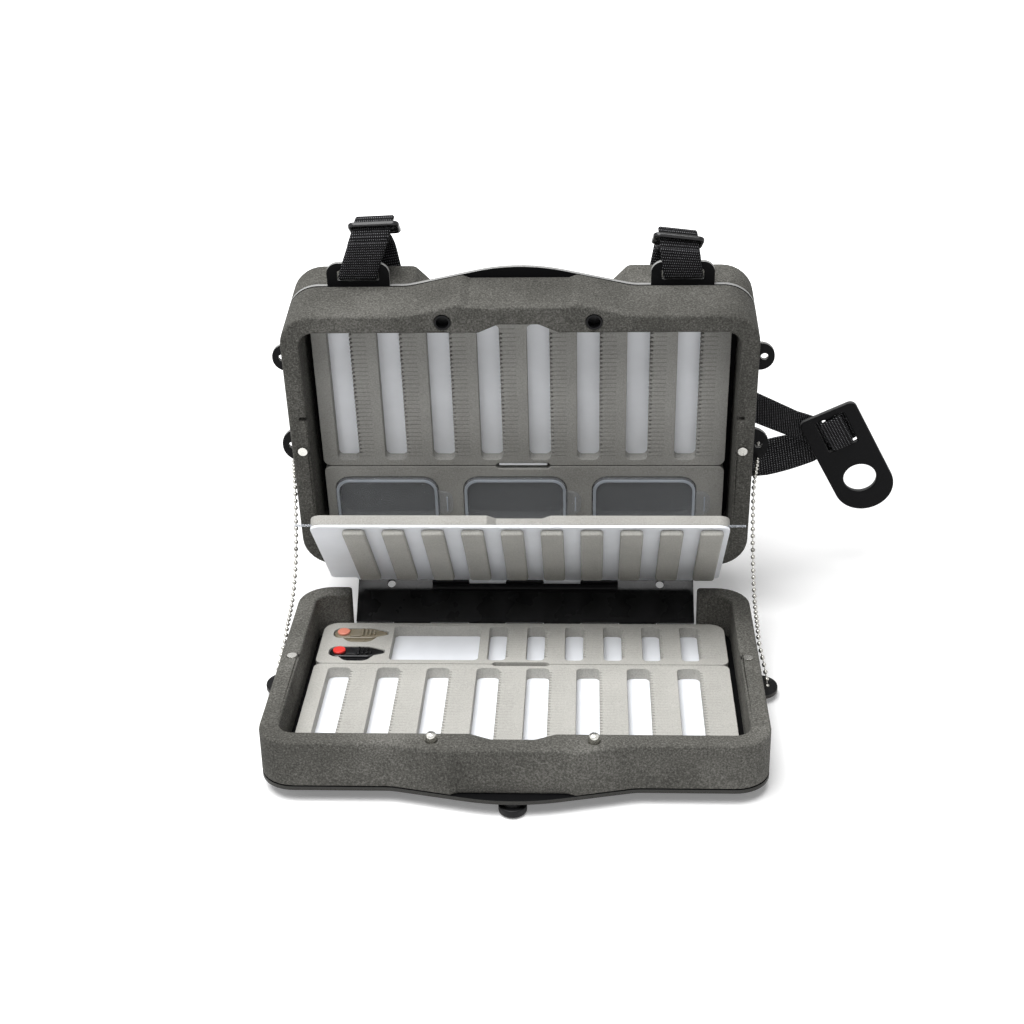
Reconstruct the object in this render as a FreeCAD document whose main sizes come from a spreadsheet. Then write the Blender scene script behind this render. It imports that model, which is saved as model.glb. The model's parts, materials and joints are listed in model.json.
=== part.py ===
import FreeCAD, Part
import math
import os

from FreeCAD import Placement, Rotation, Vector

# A hinged fly box that lies open like a book. Millimetres throughout.
# Each leaf has its own frame: x across the box, y away from its hinge, z towards the rim.
# The tray lies on its plate, so its y runs towards the hinge and its parts use -y.

SIZES = {
    # case
    "case_width": 240.0,
    "case_reach": 154.3,
    "case_corner": 17.0,
    "plate_thick": 2.0,
    "tray_height": 26.0,
    "lid_height": 34.0,
    "rim_gap": 0.3,
    "rim_round": 1.3,
    "side_wall": 9.5,
    "free_wall": 9.9,
    "hinge_wall": 9.5,
    "hollow_corner": 8.0,
    "wall_end_round": 2.0,
    # thumb lip in the middle of the free edge
    "lip_ramp_half": 57.0,
    "lip_peak_half": 29.0,
    "lip_peak_rise": 6.5,
    "lip_flat_half": 25.0,
    "lip_flat_rise": 4.9,
    "lip_blend": 25.0,
    "lip_corner": 1.5,
    "plate_lip_rise": 13.0,
    "plate_lip_bend": 100.0,
    "relief_half": 10.0,
    "relief_ramp": 10.0,
    "relief_rise": 4.6,
    "relief_blend": 4.0,
    # hinges
    "spine_inset": 27.6,
    "spine_side_gap": 0.6,
    "spine_lean": 50.0,
    "lid_lean": 10.0,
    "page_climb": 45.0,
    "barrel_radius": 2.2,
    "barrel_room": 0.5,
    "pin_radius": 0.8,
    "pin_room": 0.05,
    "knuckle_gap": 0.4,
    "page_bar_width": 102.0,
    "page_bar_height": 8.9,
    "page_bar_thick": 3.0,
    "page_bar_round": 1.0,
    "page_axis_stand": 6.2,
    "page_barrel_radius": 1.9,
    "spine_hole_half": 74.0,
    "spine_hole_radius": 2.2,
    # inserts
    "insert_side_room": 3.5,
    "insert_corner": 8.0,
    "insert_start": 11.0,
    "insert_split": 53.7,
    "insert_gap": 0.6,
    "insert_room": 0.8,
    "backing_thick": 1.2,
    "foam_thick": 6.3,
    "riser_thick": 7.5,
    "slot_row_room": 4.6,
    "slot_width": 11.6,
    "slot_shift": -3.7,
    "slot_margin": 3.8,
    "slot_corner": 3.0,
    "notch_half": 15.0,
    "notch_depth": 1.6,
    "notch_round": 0.7,
    "small_row_start": 83.9,
    "small_row_room": 8.9,
    "small_slot_width": 9.5,
    "small_slot_margin": 3.5,
    "small_slot_corner": 2.5,
    "window_width": 46.4,
    "window_inset": 61.3,
    # threaders
    "threader_length": 28.4,
    "threader_width": 9.6,
    "threader_height": 7.2,
    "threader_round": 4.5,
    "threader_taper": 8.0,
    "threader_taper_round": 4.0,
    "threader_point_half": 1.2,
    "threader_point_round": 1.0,
    "grip_half": 8.5,
    "grip_slope": 3.3,
    "grip_reach": 9.0,
    "grip_height": 5.0,
    "grip_round": 3.0,
    "grip_foot_round": 0.6,
    "threader_inset": 20.5,
    "front_threader_reach": 41.5,
    "rear_threader_reach": 22.0,
    "threader_bay_room": 0.5,
    "threader_dot_radius": 3.3,
    "threader_dot_thick": 0.4,
    "threader_dot_inset": 5.0,
    # cups
    "cup_gap": 14.0,
    "cup_row_room": 2.9,
    "cup_shift": -4.7,
    "cup_start": 14.0,
    "cup_end": 46.4,
    "cup_corner": 8.0,
    "cup_wall": 1.2,
    "cup_room": 0.3,
    "cup_stand": 0.3,
    "cup_cover_thick": 1.2,
    "cup_tab_reach": 7.8,
    "cup_tab_width": 15.2,
    "cup_tab_blend": 1.0,
    # closure
    "post_half": 37.6,
    "post_reach": 150.5,
    "post_radius": 2.6,
    "post_rise": 4.0,
    "post_sink": 6.0,
    "socket_radius": 4.0,
    "socket_room": 0.6,
    "socket_depth": 6.0,
    "magnet_inset": 5.6,
    "magnet_reach": 74.0,
    "magnet_radius": 2.5,
    "magnet_thick": 2.0,
    "seat_room": 0.05,
    "knob_reach": 159.6,
    "knob_neck_radius": 4.3,
    "knob_neck_height": 2.6,
    "knob_head_radius": 6.7,
    "knob_head_height": 4.4,
    "knob_round": 1.6,
    # ears and strap tabs
    "ear_stand": 11.3,
    "ear_width": 21.0,
    "ear_round": 10.0,
    "ear_hole_stand": 6.0,
    "ear_hole_radius": 2.0,
    "tray_ear_reach": 61.2,
    "lid_ear_reach": 57.3,
    "high_ear_reach": 112.0,
    "high_ear_width": 16.0,
    "high_ear_round": 7.6,
    "tab_inset": 37.7,
    "tab_width": 32.0,
    "tab_rise": 12.8,
    "tab_round": 6.0,
    "tab_slot_width": 21.4,
    "tab_slot_height": 5.7,
    "tab_bar": 4.2,
    "tab_slot_round": 1.2,
    # rear pad
    "pad_thick": 22.0,
    "pad_hinge_room": 4.5,
    "pad_round": 3.0,
    "pad_skin": 4.0,
    "pad_cut_half": 55.0,
    "pad_cut_floor_half": 40.0,
    "pad_cut_depth": 16.0,
    "pad_cut_round": 5.0,
    # webbing
    "webbing_width": 20.0,
    "webbing_thick": 1.6,
    "webbing_room": 0.25,
    "left_lean": 9.0,
    "right_lean": 2.0,
    "left_slider_rise": 30.5,
    "right_slider_rise": 23.8,
    "left_end_rise": 25.5,
    "right_end_rise": 15.0,
    "slider_back": 10.0,
    "run_lean": 10.0,
    "slider_width": 25.4,
    "slider_bar": 2.8,
    "slider_bar_pitch": 5.6,
    "slider_side": 1.9,
    "slider_round": 1.6,
    "webbing_head": 3.0,
    "webbing_back": 7.0,
    "left_run_half": 78.9,
    "right_run_half": 81.0,
    "upper_strand_reach": 66.0,
    "lower_strand_reach": 27.0,
    # pull tab
    "pull_width": 33.0,
    "pull_length": 70.5,
    "pull_thick": 3.0,
    "pull_corner": 4.0,
    "pull_head": 4.2,
    "pull_window_room": 0.4,
    "pull_window_half": 8.5,
    "pull_centre_bar": 4.4,
    "pull_window_round": 1.0,
    "pull_hole_radius": 9.0,
    "pull_hole_reach": 48.5,
    "pull_edge_round": 0.8,
    "pull_stand": 44.0,
    "pull_reach": 63.0,
    "pull_turn": 31.0,
    # page
    "page_inset": 14.5,
    "page_reach": 91.0,
    "page_corner": 6.0,
    "page_thick": 1.2,
    "page_root_round": 3.0,
    "page_foam_thick": 3.2,
    "page_back_thick": 5.2,
    "page_shoulder": 6.0,
    "page_wall_room": 1.5,
    "page_foam_start": 14.6,
    "page_notch_half": 16.0,
    "page_notch_depth": 4.5,
    "strip_start": 10.8,
    "strip_row_room": 5.5,
    "strip_width": 11.5,
    "strip_shift": 6.6,
    "strip_end_room": 3.0,
    "strip_round": 1.2,
    "rod_radius": 0.6,
    "rod_stand": 7.8,
    "rod_reach": 88.0,
    "rod_room": 0.1,
    "rod_groove_half": 1.2,
    "rod_groove_depth": 2.4,
    # bead chain
    "bead_radius": 1.2,
    "bead_pitch": 3.7,
    "bead_link_radius": 0.4,
}

KNUCKLES = 9
PAGE_KNUCKLES = 5
SLOTS = 8
SMALL_SLOTS = 6
STRIPS = 10
CUP_NAMES = ("left", "middle", "right")

# Where each chain hangs, from the tray's ear to the lid's: stand-off from the case side, y and z
CHAIN_ROUTE = [
    (6.0, -61.2, -1.9),
    (6.0, -61.2, 3.4),
    (4.4, -57.0, 12.0),
    (2.2, -50.0, 20.5),
    (2.0, -42.0, 24.6),
    (2.0, -31.0, 26.8),
    (2.0, -23.0, 29.2),
    (2.0, -15.0, 33.7),
    (2.0, -7.0, 40.5),
    (2.0, -1.5, 48.3),
    (2.0, 3.2, 57.0),
    (2.0, 7.0, 68.0),
    (2.2, 11.5, 79.0),
    (3.4, 19.0, 87.5),
    (5.2, 27.0, 92.3),
    (6.0, 33.0, 94.6),
    (6.0, 38.0, 94.0),
]

# How near two points or levels count as the same, and the share of a post's radius that its dome takes
SAME_PLACE = 1e-4
DOME_SHARE = 0.8

# Sizes that follow from the case's width, so that what it holds keeps to its place
TIES = {
    "spine_width": "=case_width - 2 * spine_inset",
    "insert_width": "=case_width - 2 * (side_wall + insert_side_room)",
    "slot_pitch": f"=(insert_width - 2 * slot_row_room) / {SLOTS}",
    "small_slot_pitch": f"=(insert_width - small_row_start - small_row_room) / {SMALL_SLOTS}",
    "small_slot_first": "=small_row_start + small_slot_pitch / 2 - insert_width / 2",
    "window_middle": "=window_inset - insert_width / 2",
    "threader_middle": "=threader_inset - insert_width / 2",
    "cup_pitch": f"=(insert_width - 2 * cup_row_room) / {len(CUP_NAMES)}",
    "cup_width": "=cup_pitch - cup_gap",
    "magnet_half": "=case_width / 2 - magnet_inset",
    "tab_half": "=case_width / 2 - tab_inset",
    "page_width": "=case_width - 2 * page_inset",
    "strip_pitch": f"=(page_width - 2 * strip_row_room) / {STRIPS}",
}

doc = FreeCAD.newDocument("fly_box")
sheet = doc.addObject("Spreadsheet::Sheet", "Sizes")
for row, (alias, number) in enumerate({**SIZES, **TIES}.items(), start=1):
    sheet.set(f"A{row}", alias)
    sheet.set(f"B{row}", str(number))
    sheet.setAlias(f"B{row}", alias)
doc.recompute()

nodes = {}


def size(alias):
    return float(sheet.get(alias))


# Outlines

def mirrored(corners):
    """The corners of a half outline with x above zero, followed by their mirror images in reverse."""
    return corners + [(-x, y, r) for x, y, r in reversed(corners)]


def flipped(corners):
    """The same outline with y reversed, for the tray, whose reach runs towards -y."""
    return [(x, -y, r) for x, y, r in corners]


def rectangle(x_low, x_high, y_low, y_high, radius):
    return [
        (x_low, y_low, radius),
        (x_high, y_low, radius),
        (x_high, y_high, radius),
        (x_low, y_high, radius),
    ]


def rounded_edges(corners):
    """The lines and arcs of a closed outline of (x, y, corner radius)."""
    points = [Vector(x, y, 0) for x, y, _ in corners]
    count = len(points)
    stretches = []
    for index, (_, _, radius) in enumerate(corners):
        here = points[index]
        back = (points[index - 1] - here).normalize()
        ahead = (points[(index + 1) % count] - here).normalize()
        if radius == 0:
            stretches.append((here, None, here))
            continue
        half_angle = back.getAngle(ahead) / 2
        run = radius / math.tan(half_angle)
        bisector = (back + ahead).normalize()
        middle = here + bisector * (radius / math.sin(half_angle) - radius)
        stretches.append((here + back * run, middle, here + ahead * run))
    edges = []
    for index, (enter, middle, leave) in enumerate(stretches):
        if middle is not None:
            edges.append(Part.Arc(enter, middle, leave))
        following = stretches[(index + 1) % count][0]
        if not leave.isEqual(following, SAME_PLACE):
            edges.append(Part.LineSegment(leave, following))
    return edges


def circle_edges(x, y, radius):
    return [Part.Circle(Vector(x, y, 0), Vector(0, 0, 1), radius)]


def band(points, thick):
    """The outline of a strip of even thickness along a line of points, with mitred turns."""
    line = [Vector(x, y, 0) for x, y in points]
    left = []
    right = []
    for index, here in enumerate(line):
        ways = []
        if index > 0:
            ways.append((here - line[index - 1]).normalize())
        if index + 1 < len(line):
            ways.append((line[index + 1] - here).normalize())
        normals = [Vector(-way.y, way.x, 0) for way in ways]
        total = normals[0] + normals[-1]
        miter = total * (thick / total.dot(total))
        left.append(here + miter)
        right.append(here - miter)
    return [(p.x, p.y, 0) for p in left + right[::-1]]


# Features

def new_body(label, frame):
    body = doc.addObject("PartDesign::Body", label)
    body.Label = label
    body.Placement = frame
    nodes[label] = body
    return body


def draw(body, outlines, level="0"):
    sketch = body.newObject("Sketcher::SketchObject", "Outline")
    plane = next(f for f in body.Origin.OriginFeatures if f.Role == "XY_Plane")
    sketch.AttachmentSupport = [(plane, "")]
    sketch.MapMode = "FlatFace"
    sketch.setExpression(".AttachmentOffset.Base.z", level)
    for edges in outlines:
        sketch.addGeometry(edges, False)
    return sketch


def add_pad(body, outlines, length, level="0"):
    pad = body.newObject("PartDesign::Pad", "Pad")
    pad.Profile = draw(body, outlines, level)
    pad.setExpression("Length", length)
    return pad


def add_pocket(body, outlines, depth, level):
    """A pocket cut down from its level."""
    pocket = body.newObject("PartDesign::Pocket", "Pocket")
    pocket.Profile = draw(body, outlines, level)
    pocket.setExpression("Length", depth)
    return pocket


def add_fillet(body, feature, chosen, radius):
    """Rounds the edges of the feature that chosen picks by their bounding box."""
    doc.recompute()
    names = []
    for index, edge in enumerate(feature.Shape.Edges, start=1):
        if chosen(edge.BoundBox):
            names.append(f"Edge{index}")
    fillet = body.newObject("PartDesign::Fillet", "Fillet")
    fillet.Base = (feature, names)
    fillet.setExpression("Radius", radius)
    return fillet


def at_level(level):
    """Picks the edges that lie at one height."""
    return lambda box: abs(box.ZMin - level) < SAME_PLACE and abs(box.ZMax - level) < SAME_PLACE


def add_revolution(body, corners):
    """Turns an outline of (radius, height) about the body's z axis."""
    sketch = body.newObject("Sketcher::SketchObject", "Profile")
    plane = next(f for f in body.Origin.OriginFeatures if f.Role == "XZ_Plane")
    sketch.AttachmentSupport = [(plane, "")]
    sketch.MapMode = "FlatFace"
    sketch.addGeometry(rounded_edges(corners), False)
    turn = body.newObject("PartDesign::Revolution", "Turn")
    turn.Profile = sketch
    turn.ReferenceAxis = (sketch, ["V_Axis"])
    turn.Angle = 360
    return turn


def cylinder(label, radius, height, placement):
    solid = doc.addObject("Part::Cylinder", label)
    solid.setExpression("Radius", radius)
    solid.setExpression("Height", height)
    solid.Placement = placement
    return solid


def box(label, length, width, height, placement):
    solid = doc.addObject("Part::Box", label)
    solid.setExpression("Length", length)
    solid.setExpression("Width", width)
    solid.setExpression("Height", height)
    solid.Placement = placement
    return solid


def keep(solid, label):
    solid.Label = label
    nodes[label] = solid
    return solid


def fuse(label, solids):
    joined = doc.addObject("Part::MultiFuse", label)
    joined.Shapes = solids
    return joined


def cut(label, base, tool):
    result = doc.addObject("Part::Cut", label)
    result.Base = base
    result.Tool = tool
    return result


def group(label, solids):
    """Several separate solids as one node."""
    compound = doc.addObject("Part::Compound", label)
    compound.Links = solids
    return keep(compound, label)


# Shared values

half_width = size("case_width") / 2
reach = size("case_reach")
plate = size("plate_thick")
half_plate = plate / 2
hollow_half = half_width - size("side_wall")
hollow_end = reach - size("free_wall")
spine_half = size("spine_width") / 2
wall_end = spine_half + size("spine_side_gap")
spine_reach = size("tray_height") + size("lid_height") - plate + size("rim_gap")
rim_height = size("tray_height") - half_plate + size("rim_gap") / 2
barrel_clear = size("barrel_radius") + size("barrel_room")
page_barrel_clear = size("page_barrel_radius") + size("barrel_room")
insert_half = size("insert_width") / 2
insert_end = hollow_end - size("insert_room")
insert_low_end = size("insert_split") - size("insert_gap") / 2
insert_high_start = size("insert_split") + size("insert_gap") / 2
webbing_half = size("webbing_thick") / 2

ACROSS = Vector(1, 0, 0)
UP = Vector(0, 0, 1)
ALONG_X = Rotation(Vector(0, 1, 0), 90)
RIGHT_ANGLE = 90
STRAIGHT_ANGLE = 180

# Frames of the moving leaves at rest

TRAY = Placement()
SPINE = Placement(Vector(0, 0, half_plate), Rotation(ACROSS, RIGHT_ANGLE - size("spine_lean")))
lid_turn = Rotation(ACROSS, RIGHT_ANGLE + size("lid_lean"))
lid_hinge = SPINE.multVec(Vector(0, spine_reach, 0))
LID = Placement(lid_hinge - lid_turn.multVec(Vector(0, 0, half_plate)), lid_turn)
page_hinge = SPINE.multVec(Vector(0, rim_height, size("page_axis_stand")))
PAGE = Placement(page_hinge, Rotation(ACROSS, STRAIGHT_ANGLE - size("page_climb")))


def shifted(frame, x, y, z, turn=Rotation()):
    return frame.multiply(Placement(Vector(x, y, z), turn))


# Hinges

KNUCKLE_LENGTH = f"Sizes.spine_width / {KNUCKLES} - Sizes.knuckle_gap"
PAGE_KNUCKLE_LENGTH = f"Sizes.page_bar_width / {PAGE_KNUCKLES} - Sizes.knuckle_gap"


def knuckle_spans(width, count, first):
    """The (low, high) stretches of every other knuckle along a hinge, less the gaps between them."""
    pitch = width / count
    trim = size("knuckle_gap") / 2
    low = -width / 2
    return [(low + k * pitch + trim, low + (k + 1) * pitch - trim) for k in range(first, count, 2)]


def notches(width, count, first):
    """The (low, high) stretches that the other leaf's knuckles turn in."""
    trim = size("knuckle_gap")
    return [(low - trim, high + trim) for low, high in knuckle_spans(width, count, first)]


def notched_edge(spans, edge_y, inner_y):
    """The corners along a hinge edge from right to left, stepping to inner_y in each span."""
    corners = []
    for low, high in reversed(spans):
        corners += [(high, edge_y, 0), (high, inner_y, 0), (low, inner_y, 0), (low, edge_y, 0)]
    return corners


def make_barrels(label, frame, spans, axis_y, axis_z, radius, length):
    """One barrel in each knuckle span of a hinge."""
    barrels = []
    for low, _ in spans:
        place = shifted(frame, low, axis_y, axis_z, ALONG_X)
        barrels.append(cylinder(label + "_barrel", f"Sizes.{radius}", length, place))
    return barrels


def pin_bore(label, frame, axis_y, axis_z, width):
    place = shifted(frame, -size(width) / 2, axis_y, axis_z, ALONG_X)
    return cylinder(label + "_bore", "Sizes.pin_radius + Sizes.pin_room", f"Sizes.{width}", place)


def hinge_pin(label, frame, axis_y, axis_z, length):
    place = shifted(frame, -size(length) / 2, axis_y, axis_z, ALONG_X)
    return keep(cylinder(label, "Sizes.pin_radius", f"Sizes.{length}", place), label)


# Case

def ear(middle, width, radius):
    """Corners of a rounded ear on the case's right side."""
    low = middle - width / 2
    high = middle + width / 2
    tip = half_width + size("ear_stand")
    return [(half_width, low, 0), (tip, low, radius), (tip, high, radius), (half_width, high, 0)]


def plate_outline(ears, hinge_edge, tabs):
    """The outline of a leaf's outer plate: ears on its sides, a thumb lip and any strap tabs."""
    corner = size("case_corner")
    right = [(half_width, 0, corner)]
    for middle, width, radius in ears:
        right += ear(middle, width, radius)
    right.append((half_width, reach, corner))
    if tabs:
        low = size("tab_half") - size("tab_width") / 2
        high = size("tab_half") + size("tab_width") / 2
        top = reach + size("tab_rise")
        tab_round = size("tab_round")
        right += [(high, reach, 0), (high, top, tab_round), (low, top, tab_round), (low, reach, 0)]
    right.append((size("lip_ramp_half"), reach, size("lip_blend")))
    left = [(-x, y, r) for x, y, r in reversed(right)]
    peak = [(0, reach + size("plate_lip_rise"), size("plate_lip_bend"))]
    return right + peak + left + hinge_edge


def ear_holes(ears):
    hole_x = half_width + size("ear_hole_stand")
    return [(side * hole_x, middle) for middle, _, _ in ears for side in (-1, 1)]


def shell_outline():
    """A foam wall round three sides and the ends of the hinge side, with the thumb lip cut flat."""
    lip_corner = size("lip_corner")
    hollow_corner = size("hollow_corner")
    blend = size("relief_blend")
    relief_end = size("relief_half") + size("relief_ramp")
    outer = [
        (wall_end, 0, size("wall_end_round")),
        (half_width, 0, size("case_corner")),
        (half_width, reach, size("case_corner")),
        (size("lip_ramp_half"), reach, size("lip_blend")),
        (size("lip_peak_half"), reach + size("lip_peak_rise"), lip_corner),
        (size("lip_flat_half"), reach + size("lip_flat_rise"), lip_corner),
    ]
    inner = [
        (-wall_end, size("hinge_wall"), size("wall_end_round")),
        (-hollow_half, size("hinge_wall"), hollow_corner),
        (-hollow_half, hollow_end, hollow_corner),
        (-relief_end, hollow_end, blend),
        (-size("relief_half"), hollow_end + size("relief_rise"), blend),
    ]
    return mirrored(outer) + mirrored(inner)


def plate_slot(side):
    """The webbing slot in a strap tab."""
    top = reach + size("tab_rise") - size("tab_bar")
    low = side * size("tab_half") - size("tab_slot_width") / 2
    high = side * size("tab_half") + size("tab_slot_width") / 2
    return rectangle(low, high, top - size("tab_slot_height"), top, size("tab_slot_round"))


def make_plate(label, frame, ears, tabs, flip):
    turned = notches(size("spine_width"), KNUCKLES, 1)
    outline = plate_outline(ears, notched_edge(turned, 0, barrel_clear), tabs)
    loops = [flipped(outline) if flip else outline]
    side = -1 if flip else 1
    edges = [rounded_edges(loop) for loop in loops]
    edges += [circle_edges(x, side * y, size("ear_hole_radius")) for x, y in ear_holes(ears)]
    if tabs:
        edges += [rounded_edges(plate_slot(-1)), rounded_edges(plate_slot(1))]
    blank = doc.addObject("PartDesign::Body", label + "_blank")
    blank.Placement = frame
    add_pad(blank, edges, "Sizes.plate_thick")
    spans = knuckle_spans(size("spine_width"), KNUCKLES, 0)
    barrels = make_barrels(label, frame, spans, 0, half_plate, "barrel_radius", KNUCKLE_LENGTH)
    leaf = fuse(label + "_leaf", [blank] + barrels)
    bore = pin_bore(label, frame, 0, half_plate, "spine_width")
    return keep(cut(label, leaf, bore), label)


def make_shell(label, frame, height, seats, flip):
    """A foam wall with round seats cut into its rim, each (x, reach, radius, depth name)."""
    outline = shell_outline()
    side = -1 if flip else 1
    body = new_body(label, frame)
    loop = flipped(outline) if flip else outline
    wall = add_pad(body, [rounded_edges(loop)], f"Sizes.{height} - Sizes.plate_thick", "Sizes.plate_thick")
    add_fillet(body, wall, at_level(size(height)), "Sizes.rim_round")
    for radius, depth, places in seats:
        edges = [circle_edges(x, side * y, radius) for x, y in places]
        add_pocket(body, edges, depth, f"Sizes.{height}")
    return body


TRAY_EARS = [(size("tray_ear_reach"), size("ear_width"), size("ear_round"))]
LID_EARS = [
    (size("lid_ear_reach"), size("ear_width"), size("ear_round")),
    (size("high_ear_reach"), size("high_ear_width"), size("high_ear_round")),
]
magnet_places = [(side * size("magnet_half"), size("magnet_reach")) for side in (-1, 1)]
post_places = [(side * size("post_half"), size("post_reach")) for side in (-1, 1)]
magnet_seat = size("magnet_radius") + size("seat_room")
post_seat = size("post_radius") + size("seat_room")
socket_seat = size("socket_radius") + size("seat_room")

make_plate("tray_plate", TRAY, TRAY_EARS, False, True)
make_plate("lid_plate", LID, LID_EARS, True, False)

tray_seats = [
    (magnet_seat, "Sizes.magnet_thick", magnet_places),
    (post_seat, "Sizes.post_sink", post_places),
]
make_shell("tray_shell", TRAY, "tray_height", tray_seats, True)

lid_seats = [
    (magnet_seat, "Sizes.magnet_thick", magnet_places),
    (socket_seat, "Sizes.socket_depth", post_places),
]
lid_shell = make_shell("lid_shell", LID, "lid_height", lid_seats, False)

# The lid's rim has a short groove on each side for the page's rod.
rod_rest = size("page_axis_stand") + size("rod_reach")
rod_tip = size("page_width") / 2 + size("rod_stand")
groove_half = size("rod_groove_half")
groove_loops = []
for side in (-1, 1):
    x_ends = sorted((side * (hollow_half - size("rim_round")), side * (rod_tip + size("rod_groove_half"))))
    groove_loops.append(rectangle(*x_ends, rod_rest - groove_half, rod_rest + groove_half, 0))
groove_edges = [rounded_edges(loop) for loop in groove_loops]
add_pocket(lid_shell, groove_edges, "Sizes.rod_groove_depth", "Sizes.lid_height")


# Closure: magnets, snap posts, sockets and the knob

def make_magnets(label, frame, height, flip):
    side = -1 if flip else 1
    level = size(height) - size("magnet_thick")
    discs = []
    for x, y in magnet_places:
        place = shifted(frame, x, side * y, level)
        discs.append(cylinder(label + "_disc", "Sizes.magnet_radius", "Sizes.magnet_thick", place))
    group(label, discs)


make_magnets("tray_magnets", TRAY, "tray_height", True)
make_magnets("lid_magnets", LID, "lid_height", False)

for name, (x, y) in zip(("closure_post_left", "closure_post_right"), post_places):
    post = new_body(name, shifted(TRAY, x, -y, size("tray_height") - size("post_sink")))
    top = size("post_sink") + size("post_rise")
    dome = size("post_radius") * DOME_SHARE
    post_radius = size("post_radius")
    add_revolution(post, [(0, 0, 0), (post_radius, 0, 0), (post_radius, top, dome), (0, top, 0)])

for name, (x, y) in zip(("closure_socket_left", "closure_socket_right"), post_places):
    socket = new_body(name, shifted(LID, x, y, size("lid_height") - size("socket_depth")))
    bore = size("post_radius") + size("socket_room")
    floor = size("socket_depth") - size("post_rise") - size("socket_room")
    top = size("socket_depth")
    profile = [
        (0, 0, 0),
        (size("socket_radius"), 0, 0),
        (size("socket_radius"), top, 0),
        (bore, top, 0),
        (bore, floor, 0),
        (0, floor, 0),
    ]
    add_revolution(socket, profile)

knob = new_body("tray_knob", shifted(TRAY, 0, -size("knob_reach"), 0, Rotation(ACROSS, STRAIGHT_ANGLE)))
knob_top = size("knob_neck_height") + size("knob_head_height")
add_revolution(
    knob,
    [
        (0, 0, 0),
        (size("knob_neck_radius"), 0, 0),
        (size("knob_neck_radius"), size("knob_neck_height"), 0),
        (size("knob_head_radius"), size("knob_neck_height"), size("knob_round") / 2),
        (size("knob_head_radius"), knob_top, size("knob_round")),
        (0, knob_top, 0),
    ],
)


# Inserts

def insert_outline(low, high, low_round, high_round):
    """One insert, with a shallow finger notch in the edge that meets the other insert."""
    half = size("notch_half")
    depth = size("notch_depth")
    turn = size("notch_round")
    lower = [(-insert_half, low, low_round)]
    upper = [(insert_half, high, high_round)]
    if low > size("insert_split"):
        lower += [(-half, low, turn), (depth - half, low + depth, turn)]
        lower += [(half - depth, low + depth, turn), (half, low, turn)]
    else:
        upper += [(half, high, turn), (half - depth, high - depth, turn)]
        upper += [(depth - half, high - depth, turn), (-half, high, turn)]
    return lower + [(insert_half, low, low_round)] + upper + [(-insert_half, high, high_round)]


def slot_row(count, first, pitch, width, low, high, corner):
    places = [first + k * pitch for k in range(count)]
    return [rectangle(x - width / 2, x + width / 2, low, high, corner) for x in places]


split_round = size("hollow_corner") / 2
large_outline = insert_outline(insert_high_start, insert_end, split_round, size("insert_corner"))
small_outline = insert_outline(size("insert_start"), insert_low_end, size("insert_corner"), split_round)

first_slot = size("slot_shift") - size("slot_pitch") * (SLOTS - 1) / 2
slot_low = insert_high_start + size("slot_margin")
slot_high = insert_end - size("slot_margin")
large_slots = slot_row(
    SLOTS, first_slot, size("slot_pitch"), size("slot_width"), slot_low, slot_high, size("slot_corner")
)

small_low = size("insert_start") + size("small_slot_margin")
small_high = insert_low_end - size("small_slot_margin")
small_openings = slot_row(
    SMALL_SLOTS,
    size("small_slot_first"),
    size("small_slot_pitch"),
    size("small_slot_width"),
    small_low,
    small_high,
    size("small_slot_corner"),
)
window_left = size("window_middle") - size("window_width") / 2
window_right = size("window_middle") + size("window_width") / 2
window_corner = size("small_slot_corner")
small_openings.append(rectangle(window_left, window_right, small_low, small_high, window_corner))


def threader_outline(room, with_grip):
    """A threader from above: round at its dot, tapered to a point, with a thumb grip in front."""
    half_long = size("threader_length") / 2 + room
    half_wide = size("threader_width") / 2 + room
    taper = size("threader_length") / 2 - size("threader_taper")
    point = size("threader_point_half") + room
    grip = size("grip_half") + room
    fall_share = (half_wide - point) / (half_long - taper)
    corners = [
        (-half_long, -half_wide, size("threader_round")),
        (taper, -half_wide, size("threader_taper_round")),
        (half_long, -point, size("threader_point_round")),
        (half_long, point, size("threader_point_round")),
    ]
    if with_grip:
        corners += [
            (grip, half_wide - fall_share * (grip - taper), size("grip_foot_round")),
            (grip - size("grip_slope"), size("grip_reach") + room, size("grip_round")),
            (size("grip_slope") - grip, size("grip_reach") + room, size("grip_round")),
            (-grip, half_wide, size("grip_foot_round")),
        ]
    else:
        corners.append((taper, half_wide, size("threader_taper_round")))
    corners.append((-half_long, half_wide, size("threader_round")))
    return corners


for middle in (size("front_threader_reach"), size("rear_threader_reach")):
    bay = threader_outline(size("threader_bay_room"), True)
    small_openings.append([(x + size("threader_middle"), y + middle, turn) for x, y, turn in bay])


def make_layer(label, frame, outline, holes, thick, level, flip):
    body = new_body(label, frame)
    loops = [outline] + holes
    if flip:
        loops = [flipped(loop) for loop in loops]
    add_pad(body, [rounded_edges(loop) for loop in loops], thick, level)
    return body


FLOOR = "Sizes.plate_thick"
FOAM_FLOOR = "Sizes.plate_thick + Sizes.backing_thick"
RISER_TOP = "Sizes.plate_thick + Sizes.riser_thick"
LID_FOAM_FLOOR = "Sizes.plate_thick + Sizes.riser_thick + Sizes.backing_thick"

make_layer("tray_large_backing", TRAY, large_outline, [], "Sizes.backing_thick", FLOOR, True)
make_layer("tray_large_foam", TRAY, large_outline, large_slots, "Sizes.foam_thick", FOAM_FLOOR, True)
make_layer("tray_small_backing", TRAY, small_outline, [], "Sizes.backing_thick", FLOOR, True)
make_layer("tray_small_foam", TRAY, small_outline, small_openings, "Sizes.foam_thick", FOAM_FLOOR, True)

cup_middles = [size("cup_shift") + k * size("cup_pitch") for k in (-1, 0, 1)]
cup_half = size("cup_width") / 2
cup_corner = size("cup_corner")


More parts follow.
